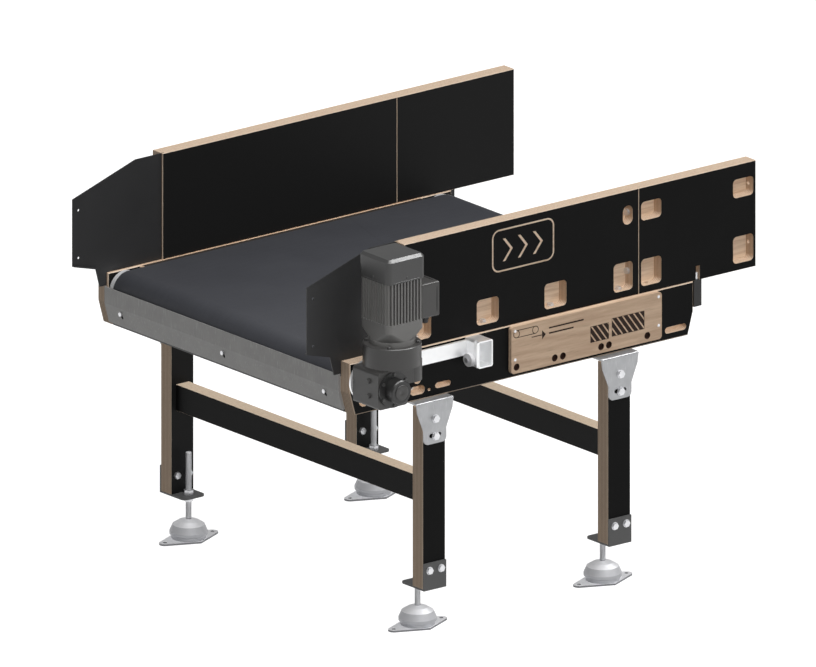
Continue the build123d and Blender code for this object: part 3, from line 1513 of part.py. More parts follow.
with BuildPart() as frame_screws:
    for side in (NEAR, FAR):
        for x in (-member_position, 0, member_position):
            head = outward(side, x, screw_pocket_floor, member_bolt_z)
            through = screw_pocket_floor - inner + member_screw_length
            screw(head, member_screw_radius, through, *member_head)
        for x in (-member_position, member_position):
            head = outward(side, x, screw_pocket_floor, belly_pocket_z)
            screw(head, bracket_screw_radius, screw_pocket_floor - inner + pan_sheet, *bracket_head)
        for x in bracket_screw_xs():
            under = plate_base - bracket_sheet
            head = Plane(origin=(x, side * bracket_screw_line, under), x_dir=(1, 0, 0), z_dir=(0, 0, -1))
            through = bracket_sheet + bracket_screw_length - screw_hole_spare
            screw(head, bracket_screw_radius, through, *bracket_head)
        takeup_y = side * (inner + block_depth / 2)
        head = Plane(origin=(plate_end, takeup_y, drum_z), x_dir=(0, 1, 0), z_dir=(1, 0, 0))
        screw(head, takeup_radius, plate_end - drum_x - tail_axle_radius, *middle_head)
    for end in (-1, 1):
        for y in (-keyhole_position, 0, keyhole_position):
            bend, foot_x = end_line(end, cover_offset + cover_sheet)
            rise = (keyhole_z - plate_base) / end_slant_height
            face_x = foot_x + (bend - foot_x) * rise + end * keyhole_screw_gap
            head = Plane(origin=(face_x, y, keyhole_z), x_dir=(0, 1, 0), z_dir=(end, 0, 0))
            screw(head, bracket_screw_radius, keyhole_screw_length, *keyhole_head)
    for x, z in label_screw_places():
        head = outward(NEAR, x, outer + board_thickness, z)
        screw(head, label_screw_radius, board_thickness + label_screw_depth, *label_head)
save(frame_screws, "frame_screws")
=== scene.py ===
import math

import bmesh
import bpy
import numpy as np
from mathutils import Matrix, Vector


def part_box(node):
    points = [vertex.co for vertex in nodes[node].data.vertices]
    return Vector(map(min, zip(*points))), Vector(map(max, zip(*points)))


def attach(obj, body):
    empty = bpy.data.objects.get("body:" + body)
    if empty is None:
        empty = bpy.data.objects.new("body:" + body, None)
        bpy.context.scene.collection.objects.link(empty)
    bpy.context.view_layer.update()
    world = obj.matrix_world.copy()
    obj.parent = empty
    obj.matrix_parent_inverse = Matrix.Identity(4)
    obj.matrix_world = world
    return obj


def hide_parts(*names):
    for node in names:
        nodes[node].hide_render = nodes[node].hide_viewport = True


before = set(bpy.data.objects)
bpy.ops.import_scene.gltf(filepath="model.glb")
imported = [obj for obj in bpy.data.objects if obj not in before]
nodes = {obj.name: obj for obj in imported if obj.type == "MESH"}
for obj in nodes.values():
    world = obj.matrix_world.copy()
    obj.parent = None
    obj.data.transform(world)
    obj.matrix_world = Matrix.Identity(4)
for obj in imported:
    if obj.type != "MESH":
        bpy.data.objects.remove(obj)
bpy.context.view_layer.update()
print("frame loaded:", len(nodes), "nodes")


def span(node, axis):
    # lowest and highest value of a node along one axis
    low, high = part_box(node)
    return low[axis], high[axis]


def middle(node):
    # centre of a node's box
    low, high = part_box(node)
    return (low + high) / 2


boardHalf = span("side_plate_far", 1)        # inner and outer face of a side board
plateTop = span("side_plate_near", 2)[1]
drumAxis = {end: middle(f"{end}_drum") for end in ("drive", "tail")}
motorAxis = middle("fan_cover")


def gridFaces(rows, columns, closeRows=False, closeColumns=False):
    # quads between neighbours of a grid of points, numbered row by row
    row = np.arange(rows if closeRows else rows - 1)
    column = np.arange(columns if closeColumns else columns - 1)
    r, c = (a.ravel() for a in np.meshgrid(row, column, indexing="ij"))
    nextR, nextC = (r + 1) % rows, (c + 1) % columns
    return np.stack([r * columns + c, r * columns + nextC, nextR * columns + nextC, nextR * columns + c], 1)


def makePiece(name, points, faces, smooth=True):
    # a mesh object at the origin, its normals turned outwards
    mesh = bpy.data.meshes.new(name)
    mesh.from_pydata(np.reshape(points, (-1, 3)).tolist(), [], [list(map(int, f)) for f in faces])
    mesh.polygons.foreach_set("use_smooth", np.full(len(mesh.polygons), smooth))
    shell = bmesh.new()
    shell.from_mesh(mesh)
    bmesh.ops.remove_doubles(shell, verts=shell.verts, dist=1e-6)
    bmesh.ops.recalc_face_normals(shell, faces=shell.faces)
    shell.to_mesh(mesh)
    shell.free()
    piece = bpy.data.objects.new(name, mesh)
    bpy.context.scene.collection.objects.link(piece)
    return piece


def turned(profile, centre, direction, sides=32, lobes=0, lobeDepth=0.0):
    # profile (radius, height) carried round an axis; radius times 1 + depth * cos(lobes * angle)
    profile = np.array(profile, float)
    axis = np.array(direction, float)
    helper = np.array([0, 0, 1.0]) if abs(axis[2]) < 0.9 else np.array([1.0, 0, 0])
    first = np.cross(helper, axis)
    second = np.cross(axis, first)
    angle = np.linspace(0, 2 * math.pi, sides, endpoint=False)
    spoke = np.cos(angle)[:, None] * first + np.sin(angle)[:, None] * second
    wave = 1 + lobeDepth * np.cos(lobes * angle)
    radius = profile[:, 0][:, None] * wave[None, :]
    points = radius[..., None] * spoke[None] + (profile[:, 1][:, None, None] * axis) + np.array(centre)
    faces = gridFaces(len(profile), sides, closeColumns=True).tolist()
    faces.append(list(range(sides))[::-1])
    faces.append(list(range((len(profile) - 1) * sides, len(profile) * sides)))
    return points.reshape(-1, 3), faces


def swept(path, section):
    # a section in (side, up) offsets carried round a closed path of points with a side and an up vector each
    points, sides, ups = path
    body = points[:, None] + section[None, :, :1] * sides[:, None] + section[None, :, 1:] * ups[:, None]
    faces = gridFaces(len(points), len(section), closeRows=True, closeColumns=True)
    return body.reshape(-1, 3), faces.tolist()


def ringSection(radius, count=10):
    # a circle as a closed section
    angle = np.linspace(0, 2 * math.pi, count, endpoint=False)
    return np.stack([radius * np.cos(angle), radius * np.sin(angle)], 1)


def joined(parts):
    # several (points, faces) lists as one
    points, faces, start = [], [], 0
    for pts, fcs in parts:
        points.append(np.asarray(pts))
        faces += [[v + start for v in f] for f in fcs]
        start += len(pts)
    return np.concatenate(points), faces


class Wire:
    # one output socket; arithmetic on it adds Math nodes
    def __init__(self, paint, socket):
        self.paint = paint
        self.socket = socket

    def maths(self, operation, *values):
        return self.paint.add("ShaderNodeMath", {"operation": operation}, dict(enumerate(values)))

    def __add__(self, other):
        return self.maths("ADD", self, other)

    def __radd__(self, other):
        return self.maths("ADD", other, self)

    def __sub__(self, other):
        return self.maths("SUBTRACT", self, other)

    def __rsub__(self, other):
        return self.maths("SUBTRACT", other, self)

    def __mul__(self, other):
        return self.maths("MULTIPLY", self, other)

    def __rmul__(self, other):
        return self.maths("MULTIPLY", other, self)

    def __truediv__(self, other):
        return self.maths("DIVIDE", self, other)

    def __mod__(self, other):
        return self.maths("FLOORED_MODULO", self, other)

    def __pow__(self, other):
        return self.maths("POWER", self, other)

    def __or__(self, other):
        return self.maths("MAXIMUM", self, other)

    def __and__(self, other):
        return self.maths("MINIMUM", self, other)

    def __gt__(self, other):
        return self.maths("GREATER_THAN", self, other)

    def __lt__(self, other):
        return self.maths("LESS_THAN", self, other)

    def __abs__(self):
        return self.maths("ABSOLUTE", self)

    def sine(self):
        return self.maths("SINE", self)


class Paint:
    # a material under construction
    def __init__(self, name, uv=False):
        self.material = bpy.data.materials.new(name)
        self.material.use_nodes = True
        self.tree = self.material.node_tree
        self.shader = self.tree.nodes["Principled BSDF"]
        self.place = self.add("ShaderNodeTexCoord", {}, {}, "UV" if uv else "Object")
        self.facing = self.add("ShaderNodeTexCoord", {}, {}, "Normal")
        self.x, self.y, self.z = self.split(self.place)
        self.nx, self.ny, self.nz = self.split(self.facing)

    def add(self, kind, settings, inputs, output=0):
        node = self.tree.nodes.new(kind)
        for key, value in settings.items():
            setattr(node, key, value)
        for key, value in inputs.items():
            if isinstance(value, Wire):
                self.tree.links.new(value.socket, node.inputs[key])
            else:
                node.inputs[key].default_value = value
        return Wire(self, node.outputs[output])

    def split(self, vector):
        first = self.add("ShaderNodeSeparateXYZ", {}, {0: vector})
        return [Wire(self, first.socket.node.outputs[i]) for i in range(3)]

    def scaled(self, factors):
        return self.add("ShaderNodeVectorMath", {"operation": "MULTIPLY"}, {0: self.place, 1: factors})

    def noise(self, scale, detail=3.0, roughness=0.55, stretch=(1, 1, 1)):
        vector = self.scaled(tuple(scale * s for s in stretch))
        return self.add("ShaderNodeTexNoise", {}, {"Vector": vector, "Scale": 1.0, "Detail": detail,
                                                   "Roughness": roughness})

    def cells(self, scale, stretch=(1, 1, 1)):
        vector = self.scaled(tuple(scale * s for s in stretch))
        return self.add("ShaderNodeTexVoronoi", {}, {"Vector": vector, "Scale": 1.0})

    def step(self, value, low, high):
        # 0 below low, 1 above high, smooth between
        return self.add("ShaderNodeMapRange", {"interpolation_type": "SMOOTHSTEP"},
                        {0: value, 1: low, 2: high, 3: 0.0, 4: 1.0})

    def blend(self, mask, low, high):
        return self.add("ShaderNodeMix", {"data_type": "RGBA"}, {0: mask, 6: low, 7: high}, 2)

    def length(self, a, b):
        return (a * a + b * b) ** 0.5

    def roundedFrame(self, u, w, halfU, halfW, corner):
        # signed distance to a rounded rectangle: |max(|p| - half + corner, 0)| - corner
        du = (abs(u) - (halfU - corner)) | 0.0
        dw = (abs(w) - (halfW - corner)) | 0.0
        return self.length(du, dw) - corner

    def finish(self, colour, roughness, metallic=0.0, height=None, depth=0.0005, strength=1.0, gloss=0.5):
        values = {"Base Color": colour, "Roughness": roughness, "Metallic": metallic}
        self.shader.inputs["Specular IOR Level"].default_value = gloss
        if height is not None:
            values["Normal"] = self.add("ShaderNodeBump", {}, {"Strength": strength, "Distance": depth,
                                                               "Height": height})
        for key, value in values.items():
            if isinstance(value, Wire):
                self.tree.links.new(value.socket, self.shader.inputs[key])
            else:
                self.shader.inputs[key].default_value = value
        return self.material


def tint(red, green, blue):
    # screen values out of 255 as the linear values that shaders use
    values = np.array([red, green, blue]) / 255
    linear = np.where(values <= 0.04045, values / 12.92, ((values + 0.055) / 1.055) ** 2.4)
    return (*linear.tolist(), 1.0)


def wear(material, names):
    # give CAD nodes a material
    for name in names:
        nodes[name].data.materials.clear()
        nodes[name].data.materials.append(material)


board = {
    "film": tint(15, 15, 15),
    "filmPale": tint(21, 21, 21),
    "filmInnerLit": tint(32, 32, 32),       # inner faces: painted light, paler as if lit by light bounced off the belt
    "veneerPale": tint(226, 207, 186),
    "veneerDark": tint(190, 163, 138),
    "glueLine": tint(122, 94, 74),
    "litBeamTop": tint(252, 230, 203),    # painted highlight on the upward faces of a cross beam
    "pocket": tint(238, 216, 192),
    "pocketDark": tint(212, 186, 160),
    "veneer": 0.0030,          # one layer and the next, in metres
    "filmThickness": 0.0004,
    "wobble": 0.0004,          # how far a layer strays
    "glueLimit": 0.44,         # nearer 0.5 gives thinner glue lines
    "facing": 0.9,             # how square to an axis a cut face counts as flat
}

mark = {                       # routed on the near guard: a frame round three chevrons
    "centre": (0.005, 1.024),
    "half": (0.105, 0.058),
    "corner": 0.022,
    "line": 0.0045,
    "chevronPitch": 0.052,
    "chevronHeight": 0.032,
    "chevronWidth": 0.0085,
    "chevronSlope": 0.8,
    "chevronShift": 0.012,
}


def travelMark(paint):
    # 1 on the routed lines: the frame's outline, and bands slanted by |height| inside it
    u, w = paint.x - mark["centre"][0], paint.z - mark["centre"][1]
    edge = paint.roundedFrame(u, w, *mark["half"], mark["corner"])
    outline = abs(edge) < mark["line"] / 2
    run = u + abs(w) * mark["chevronSlope"] + mark["chevronPitch"] * 1.5 - mark["chevronShift"]
    band = abs((run % mark["chevronPitch"]) - mark["chevronPitch"] / 2) < mark["chevronWidth"] / 2
    halfRun = mark["chevronPitch"] * 1.5
    inside = (abs(w) < mark["chevronHeight"]) & (abs(run - halfRun) < halfRun)
    return outline | (band & inside)


def filmPlywood(name, axis, low, high, grainAxis=0, routed=False):
    # black film on both faces of the board; stripes of veneer wherever the board is cut
    paint = Paint(name)
    along = {"y": abs(paint.y), "x": abs(paint.x)}[axis]
    normal = abs({"y": paint.ny, "x": paint.nx}[axis])
    depth = along - low
    thickness = high - low
    onFace = (depth < board["filmThickness"]) | (depth > thickness - board["filmThickness"])
    squeeze = {"y": (1, 6, 1), "x": (6, 1, 1)}[axis]
    fibre = paint.noise(60, 6, 0.6, squeeze)
    wobble = paint.noise(9, 2, 0.5) * board["wobble"]
    layer = ((depth + wobble) / board["veneer"]) % 2.0
    even = paint.step(layer, 0.92, 1.08)
    glue = abs((layer % 1.0) - 0.5) > board["glueLimit"]
    wood = paint.blend(even, board["veneerPale"], board["veneerDark"])
    wood = paint.blend(glue * 0.7, wood, board["glueLine"])
    if axis == "x":
        # upward faces of the beams paler: painted highlight
        wood = paint.blend((paint.nz > board["facing"]) * 0.85, wood, board["litBeamTop"])
    wood = paint.blend(paint.step(fibre, 0.35, 0.8) * 0.45, wood, board["veneerDark"])
    stretch = [9.0, 9.0, 9.0]
    stretch[grainAxis] = 0.6
    grain = paint.noise(16, 8, 0.65, stretch)
    floorWood = paint.blend(paint.step(grain, 0.35, 0.7), board["pocket"], board["pocketDark"])
    wood = paint.blend(normal > board["facing"], wood, floorWood)
    cloud = paint.noise(5, 4, 0.6)
    scuff = paint.step(paint.noise(30, 6, 0.7, (0.25, 1, 3)), 0.63, 0.75)
    film = paint.blend(paint.step(cloud, 0.3, 0.75) * 0.6 + scuff * 0.25, board["film"], board["filmPale"])
    # inner faces take the paler film: painted light
    film = paint.blend(depth < board["filmThickness"], film, board["filmInnerLit"])
    if routed:                 # only the outer face carries the mark
        onFace = onFace & (1 - (travelMark(paint) & (depth > thickness / 2)))
    colour = paint.blend(onFace, wood, film)
    telegraph = paint.noise(22, 5, 0.6, tuple(s / 6 for s in stretch))
    roughness = 0.62 - onFace * (0.24 - cloud * 0.12 - scuff * 0.12)
    height = grain * 0.5 * (1 - onFace) + telegraph * onFace * 0.35 + fibre * 0.3 * (1 - onFace)
    return paint.finish(colour, roughness, height=height, depth=0.0006, strength=0.5, gloss=0.06)


inner, outer = boardHalf
wear(filmPlywood("filmPlywoodSides", "y", inner, outer), [
    "side_plate_near", "side_plate_far", "guard_long_far", "guards_short"])
wear(filmPlywood("filmPlywoodMarked", "y", inner, outer, routed=True), ["guard_long_near"])
legLow, legHigh = span("legs_drive", 1)[1] - (outer - inner), span("legs_drive", 1)[1]
wear(filmPlywood("filmPlywoodLegs", "y", legLow, legHigh, grainAxis=2), ["legs_drive", "legs_tail"])
beamLow, beamHigh = span("beam_tail", 0)
wear(filmPlywood("filmPlywoodBeams", "x", beamLow, beamHigh, grainAxis=1), ["beam_drive", "beam_tail"])
print("film-faced boards done")


def satinPaint(name, colour, pale, roughness=0.42, peel=900, dust=0.25):
    # sprayed paint with orange peel, a little dust on upward faces and faint handling marks
    paint = Paint(name)
    skin = paint.noise(peel, 2, 0.5)
    cloud = paint.noise(7, 5, 0.6)
    rub = paint.step(paint.noise(45, 6, 0.7, (1, 1, 0.3)), 0.64, 0.8)
    settled = (paint.nz | 0.0) * dust * paint.step(cloud, 0.3, 0.7)
    shade = paint.blend(cloud * 0.5 + rub * 0.4 + settled, colour, pale)
    return paint.finish(shade, roughness + cloud * 0.14 - rub * 0.08, height=skin + cloud * 0.6,
                        depth=0.00025, strength=0.35)


bars = {"ridge": 0.0016}


def ribbedBlack(name):
    # saw marks up and down a painted bar
    paint = Paint(name)
    ridge = abs((paint.y / bars["ridge"]) % 2.0 - 1)
    cloud = paint.noise(12, 4)
    shade = paint.blend(ridge * 0.5 + cloud * 0.3, tint(16, 16, 17), tint(52, 51, 50))
    return paint.finish(shade, 0.5 + cloud * 0.2, height=ridge, depth=0.0006, strength=0.6)


wear(ribbedBlack("ribbedBlack"), ["end_bars"])
wear(satinPaint("guideSheetPaint", tint(38, 38, 39), tint(54, 54, 55)), ["guide_sheets"])
wear(satinPaint("panPaint", tint(26, 26, 27), tint(44, 44, 45)), ["belly_pan"])
wear(satinPaint("footBracketPaint", tint(74, 74, 74), tint(96, 96, 96), 0.4), [
    "foot_brackets_drive", "foot_brackets_tail"])


label = {
    "face": tint(224, 196, 168),
    "faceDark": tint(190, 158, 132),
    "ink": tint(26, 9, 7),
    "holeWall": tint(34, 10, 8),
    "rollers": [(-0.027, 0.781), (0.038, 0.781)],
    "rollerRadius": 0.010,
    "line": 0.0022,
    "panels": [((0.228, 0.292), (0.706, 0.752)), ((0.302, 0.415), (0.709, 0.761))],
    "panelEdge": 0.0012,
    "panelCorner": 0.002,
    "hatchSlope": 0.75,
    "hatchPitch": 0.0190,
    "hatchShare": 0.74,
    "arrowTip": (0.070, 0.762),
    "arrowHead": (0.004, -0.009),      # tip and back of the head, from arrowTip
    "arrowShaft": (0.045, 0.020),      # middle and half length
    "rules": [((0.085, 0.205), 0.777), ((0.085, 0.170), 0.762)],
    "holeHeight": 0.688,
    "holes": (-0.027, 0.105, 0.133, 0.265, 0.292, 0.425),
    "holeRadius": 0.0104,
    "printDepth": 0.0004,          # how far behind the front face the print still counts as on it
    "boreStart": 0.0002,
}


def birch(name, printed=False, slideFace=0.0):
    # rotary-cut birch: long wandering grain, pale pores, soft flecks
    paint = Paint(name)
    warp = paint.noise(5, 3, 0.5, (0.5, 1, 1.6))
    grain = paint.noise(14, 8, 0.65, (0.5, 6, 6))
    flame = abs(((paint.z * 26 + warp * 5.0) % 1.0) - 0.5) * 2
    pores = paint.step(paint.noise(260, 2, 0.5, (0.06, 1, 1)), 0.62, 0.7)
    shade = paint.blend(paint.step(grain, 0.3, 0.72) * 0.6 + flame * 0.25, label["face"], label["faceDark"])
    shade = paint.blend(pores * 0.14, shade, label["holeWall"])
    height = grain * 0.6 - pores * 0.5
    if slideFace:                  # dark film on top, up to this far from the middle
        slide = (paint.nz > board["facing"]) & (abs(paint.y) < slideFace)
        shade = paint.blend(slide * 0.96, shade, tint(22, 22, 24))
    if printed:
        front = span("label_board", 1)[0]
        onFront = paint.y < front + label["printDepth"]
        ink = None
        for centreX, centreZ in label["rollers"]:
            reach = paint.length(paint.x - centreX, paint.z - centreZ)
            ring = abs(reach - label["rollerRadius"]) < label["line"] / 2
            ink = ring if ink is None else ink | ring
        (firstX, rollerZ), (lastX, _) = label["rollers"]
        between = abs(paint.x - (firstX + lastX) / 2) < (lastX - firstX) / 2
        strand = abs(abs(paint.z - rollerZ) - label["rollerRadius"]) < label["line"] / 2
        ink = ink | (between & strand)
        arrowX, arrowZ = paint.x - label["arrowTip"][0], paint.z - label["arrowTip"][1]
        arrow = (abs(arrowZ) + arrowX < label["arrowHead"][0]) & (arrowX > label["arrowHead"][1])
        shaftMiddle, shaftHalf = label["arrowShaft"]
        shaft = (abs(arrowZ) < label["line"] / 2) & (abs(paint.x - shaftMiddle) < shaftHalf)
        ink = ink | arrow | shaft
        for (x0, x1), (z0, z1) in label["panels"]:
            u, w = paint.x - (x0 + x1) / 2, paint.z - (z0 + z1) / 2
            edge = paint.roundedFrame(u, w, (x1 - x0) / 2, (z1 - z0) / 2, label["panelCorner"])
            slant = (paint.x + paint.z * label["hatchSlope"]) / label["hatchPitch"]
            hatch = (slant % 1.0) < label["hatchShare"]
            ink = ink | ((edge < 0) & (hatch | (edge > -label["panelEdge"])))
        for (x0, x1), height0 in label["rules"]:
            bar = (abs(paint.x - (x0 + x1) / 2) < (x1 - x0) / 2) & (abs(paint.z - height0) < label["line"])
            ink = ink | bar
        ink = ink & onFront
        bored = None
        for holeX in label["holes"]:
            near = paint.length(paint.x - holeX, paint.z - label["holeHeight"]) < label["holeRadius"]
            bored = near if bored is None else bored | near
        bored = bored & (paint.y > front + label["boreStart"])
        shade = paint.blend(ink * 0.97, shade, label["ink"])
        shade = paint.blend(bored * 0.97, shade, label["holeWall"])
        height = height - ink * 0.8
    return paint.finish(shade, 0.56 + grain * 0.12, height=height, depth=0.0005, strength=0.45, gloss=0.15)


wear(birch("birchLabel", printed=True), ["label_board"])
bareStrip = 0.0055             # pale wood left along the sides of the bed's film
wear(birch("birchBed", slideFace=span("slider_bed", 1)[1] - bareStrip), ["slider_bed"])
wear(birch("birchMembers"), ["cross_members"])
print("sheet metal and bare wood done")


def plated(name, colour, pale, roughness=0.3, spangle=70, metallic=0.85, paintedFrom=None):
    # zinc plate: soft spangles, fine tumbling scratches; painted beyond a place (x below, y below) if given
    paint = Paint(name)
    cell = paint.cells(spangle)
    cloud = paint.noise(18, 5, 0.6)
    scratch = paint.step(paint.noise(420, 2, 0.5, (1, 1, 0.08)), 0.58, 0.72)
    shade = paint.blend(cell * 0.5 + cloud * 0.4, colour, pale)
    shade = paint.blend(scratch * 0.18, shade, tint(240, 240, 242))
    if paintedFrom:
        painted = (paint.x < paintedFrom[0]) & (paint.y < paintedFrom[1])
        shade = paint.blend(painted, shade, tint(74, 74, 73))
        metallic = metallic * (1 - painted)
    return paint.finish(shade, roughness + cloud * 0.16 - scratch * 0.06, metallic,
                        height=cloud + scratch * 0.4, depth=0.0002, strength=0.35)


def lathed(name, colour, pale, pitch=0.0009, axis="y", roughness=0.24, metallic=0.95):
    # turned steel: fine rings spaced along the axis of turning
    paint = Paint(name)
    along = {"y": paint.y, "z": paint.z}[axis]
    ring = abs((along / pitch) % 2.0 - 1)
    stretch = {"y": (0.4, 30, 0.4), "z": (0.4, 0.4, 30)}[axis]
    band = paint.noise(12, 5, 0.6, stretch)
    cloud = paint.noise(14, 4, 0.6)
    shade = paint.blend(band * 0.7 + cloud * 0.3, colour, pale)
    return paint.finish(shade, roughness + band * 0.18, metallic,
                        height=ring + band, depth=0.00012, strength=0.4)


def castPaint(name, colour, pale, roughness=0.42):
    # painted casting: pebbled skin under the paint
    paint = Paint(name)
    pebble = paint.noise(420, 4, 0.6)
    lump = paint.noise(60, 4, 0.6)
    cloud = paint.noise(9, 4, 0.6)
    settled = (paint.nz | 0.0) * 0.12 * paint.step(cloud, 0.25, 0.7)
    shade = paint.blend(cloud * 0.4 + pebble * 0.25 + settled, colour, pale)
    return paint.finish(shade, roughness + cloud * 0.12 + pebble * 0.06, height=pebble * 0.7 + lump,
                        depth=0.0005, strength=0.4)


feet = {                         # lengths in metres; bell and plate tops are heights over the floor
    "names": [f"foot_{end}_{side}" for end in ("drive", "tail") for side in ("near", "far")],
    "pitch": 0.002,
    "rodRadius": 0.0084,
    "bellTop": 0.060,
    "plateTop": 0.0055,
    # the next two colours are painted shade on side-facing dome and plate faces
    "skirtShade": tint(158, 159, 164),
    "rim": tint(112, 112, 116),
}


def threaded(name, colour, pale, pitch, centres, radius):
    # plated steel whose rods carry a thread: a wave of height / pitch plus turn / (2 pi)
    paint = Paint(name)
    cell = paint.cells(80)
    cloud = paint.noise(20, 5, 0.6)
    rod = None
    wave = None
    for centreX, centreY in centres:
        u, v = paint.x - centreX, paint.y - centreY
        near = (paint.length(u, v) < radius) & (abs(paint.nz) < 0.5)
        angle = paint.add("ShaderNodeMath", {"operation": "ARCTAN2"}, {0: v, 1: u})
        turn = (paint.z / pitch + angle / (2 * math.pi)) % 1.0
        part = near * abs(turn - 0.5) * 2
        rod = near if rod is None else rod | near
        wave = part if wave is None else wave | part
    shade = paint.blend(cell * 0.45 + cloud * 0.4, colour, pale)
    # dome faces turned sideways or down take a darker grey: painted shade
    skirtShade = (1 - paint.step(paint.nz, 0.1, 0.85)) * (paint.z < feet["bellTop"])
    shade = paint.blend(skirtShade * 0.75, shade, feet["skirtShade"])
    # sides of the base plate take a darker grey: painted shade
    rim = (abs(paint.nz) < 0.5) & (paint.z < feet["plateTop"])
    shade = paint.blend(rim * 0.8, shade, feet["rim"])
    # thread roots darker: painted shade in the grooves
    shade = paint.blend(rod * (1 - wave) * 0.5, shade, tint(70, 70, 72))
    return paint.finish(shade, 0.42 + cloud * 0.15 - rod * 0.1, 0.45,
                        height=wave * 2 + cloud * 0.4 * (1 - rod), depth=0.0006, strength=0.6)


footCentres = [tuple(middle(n))[:2] for n in feet["names"]]
wear(threaded("footZinc", tint(228, 229, 232), tint(250, 250, 252), feet["pitch"], footCentres,
              feet["rodRadius"]), feet["names"])
wear(plated("boltZinc", tint(205, 206, 209), tint(238, 238, 240), 0.26), [
    "leg_bolts_drive", "leg_bolts_tail", "leg_pivot_bolts", "guard_bolts", "frame_screws", "takeup_blocks"])
wear(plated("driveZinc", tint(205, 206, 209), tint(238, 238, 240), 0.26, paintedFrom=(-0.48, -0.668)), [
    "drive_fasteners"])
wear(plated("bracketZinc", tint(164, 165, 167), tint(188, 189, 191), 0.38, 40, 0.7), ["leg_top_brackets"])
wear(plated("coverZinc", tint(142, 141, 140), tint(158, 157, 155), 0.45, 26, 0.15), [
    "drive_end_cover", "tail_end_cover"])
wear(plated("armZinc", tint(244, 245, 246), tint(254, 254, 254), 0.32, 50, 0.8), [
    "torque_arm", "torque_bracket"])
wear(lathed("drumSteel", tint(226, 226, 228), tint(248, 248, 250), metallic=0.45), [
    "drive_drum", "tail_drum", "drive_shaft", "drive_bearings", "tail_bearings", "fixed_axles",
    "return_roller_drive", "return_roller_tail"])
wear(lathed("wormSteel", tint(180, 180, 182), tint(215, 215, 217), axis="z"), ["worm_shaft", "motor_rotor"])
wear(lathed("wheelBronze", tint(176, 128, 70), tint(206, 160, 98)), ["worm_wheel"])
wear(lathed("coreSteel", tint(92, 92, 96), tint(130, 130, 134), 0.0005, "z", 0.4), ["motor_stator"])
wear(castPaint("motorPaint", tint(62, 61, 60), tint(82, 81, 80), 0.28), [
    "gearbox_housing", "motor_adapter", "terminal_box", "terminal_lid"])
wear(castPaint("capPaint", tint(40, 40, 40), tint(54, 54, 53), 0.26), ["gearbox_end_cap"])
# paler copy of the motor paint on the finned housing: painted light that lifts the shade between the fins
wear(castPaint("finnedHousingLitPaint", tint(112, 111, 109), tint(136, 135, 133), 0.34), ["motor_housing"])
wear(satinPaint("fanCoverPaint", tint(66, 66, 66), tint(84, 84, 83), 0.26, dust=0.1), ["fan_cover"])
wear(satinPaint("moulding", tint(30, 30, 31), tint(48, 48, 49), 0.5, 500), ["cooling_fan", "cable_gland"])


def bufferRubber(name):
    # pale rubber: matt, slightly mottled
    paint = Paint(name)
    cloud = paint.noise(40, 4, 0.6)
    grain = paint.noise(900, 2, 0.5)
    shade = paint.blend(cloud, tint(216, 216, 218), tint(236, 236, 238))
    return paint.finish(shade, 0.6 + cloud * 0.1, height=grain, depth=0.0002, strength=0.3)


wear(bufferRubber("bufferRubber"), ["torque_buffer"])
print("metals done")


belt = {
    "flat": 120,               # rows along each straight strand
    "bend": 48,                # rows round each drum
    "overBed": 0.0003,
    "edgeRound": 0.0007,
    "edgeBand": 0.0012,        # darker strip along each side
    "weave": 0.0016,
    "spliceAt": 0.62,
    "spliceSlope": 0.30,
    "spliceWidth": (0.0006, 0.0018),
}


def beltLoop():
    # straight strands joined by half circles; the section is a thin rounded strip
    # UV is (distance along the run, place across) in metres
    lowX, highX = drumAxis["drive"][0], drumAxis["tail"][0]
    axisZ = drumAxis["drive"][2]
    lowY, highY = span("belt", 1)
    outside = span("belt", 2)[1] - axisZ
    thickness = outside - (plateTop + belt["overBed"] - axisZ)
    top = np.linspace(lowX, highX, belt["flat"], endpoint=False)
    right = np.linspace(math.pi / 2, -math.pi / 2, belt["bend"], endpoint=False)
    left = np.linspace(-math.pi / 2, -3 * math.pi / 2, belt["bend"], endpoint=False)
    out = np.concatenate([
        np.tile([0, 0, 1.0], (belt["flat"], 1)),
        np.stack([np.cos(right), 0 * right, np.sin(right)], 1),
        np.tile([0, 0, -1.0], (belt["flat"], 1)),
        np.stack([np.cos(left), 0 * left, np.sin(left)], 1)])
    centre = np.concatenate([
        np.stack([top, 0 * top, 0 * top + axisZ], 1),
        np.tile([highX, 0, axisZ], (belt["bend"], 1)),
        np.stack([top[::-1] + (top[1] - top[0]), 0 * top, 0 * top + axisZ], 1),
        np.tile([lowX, 0, axisZ], (belt["bend"], 1))])
    r = belt["edgeRound"]
    half = (highY - lowY) / 2
    lower = outside - thickness
    section = np.array([(-half + r, outside), (half - r, outside), (half, outside - r), (half, lower + r),
                        (half - r, lower), (-half + r, lower), (-half, lower + r), (-half, outside - r)])
    acrossRows = np.tile([0, 1.0, 0], (len(out), 1))
    points, faces = swept((centre, acrossRows, out), section)
    piece = makePiece("beltSkin", points, faces)
    ring = centre + out * outside
    stepLength = np.linalg.norm(np.roll(ring, -1, 0) - ring, axis=1)
    run = np.concatenate([[0], np.cumsum(stepLength)])
    layer = piece.data.uv_layers.new(name="run")
    corners = np.zeros(len(piece.data.loops), int)
    piece.data.loops.foreach_get("vertex_index", corners)
    positions = np.zeros(len(piece.data.vertices) * 3)
    piece.data.vertices.foreach_get("co", positions)
    positions = positions.reshape(-1, 3)[corners]
    gap = np.linalg.norm(positions[:, None, ::2] - ring[None, :, ::2], axis=2)
    row = np.argmin(gap, 1)
    quad = row.reshape(-1, 4)
    wraps = (quad.max(1) - quad.min(1)) > len(ring) / 2
    along = run[quad] + (quad < len(ring) / 2) * wraps[:, None] * run[-1]
    layer.data.foreach_set("uv", np.stack([along.ravel(), positions[:, 1]], 1).ravel())
    return piece


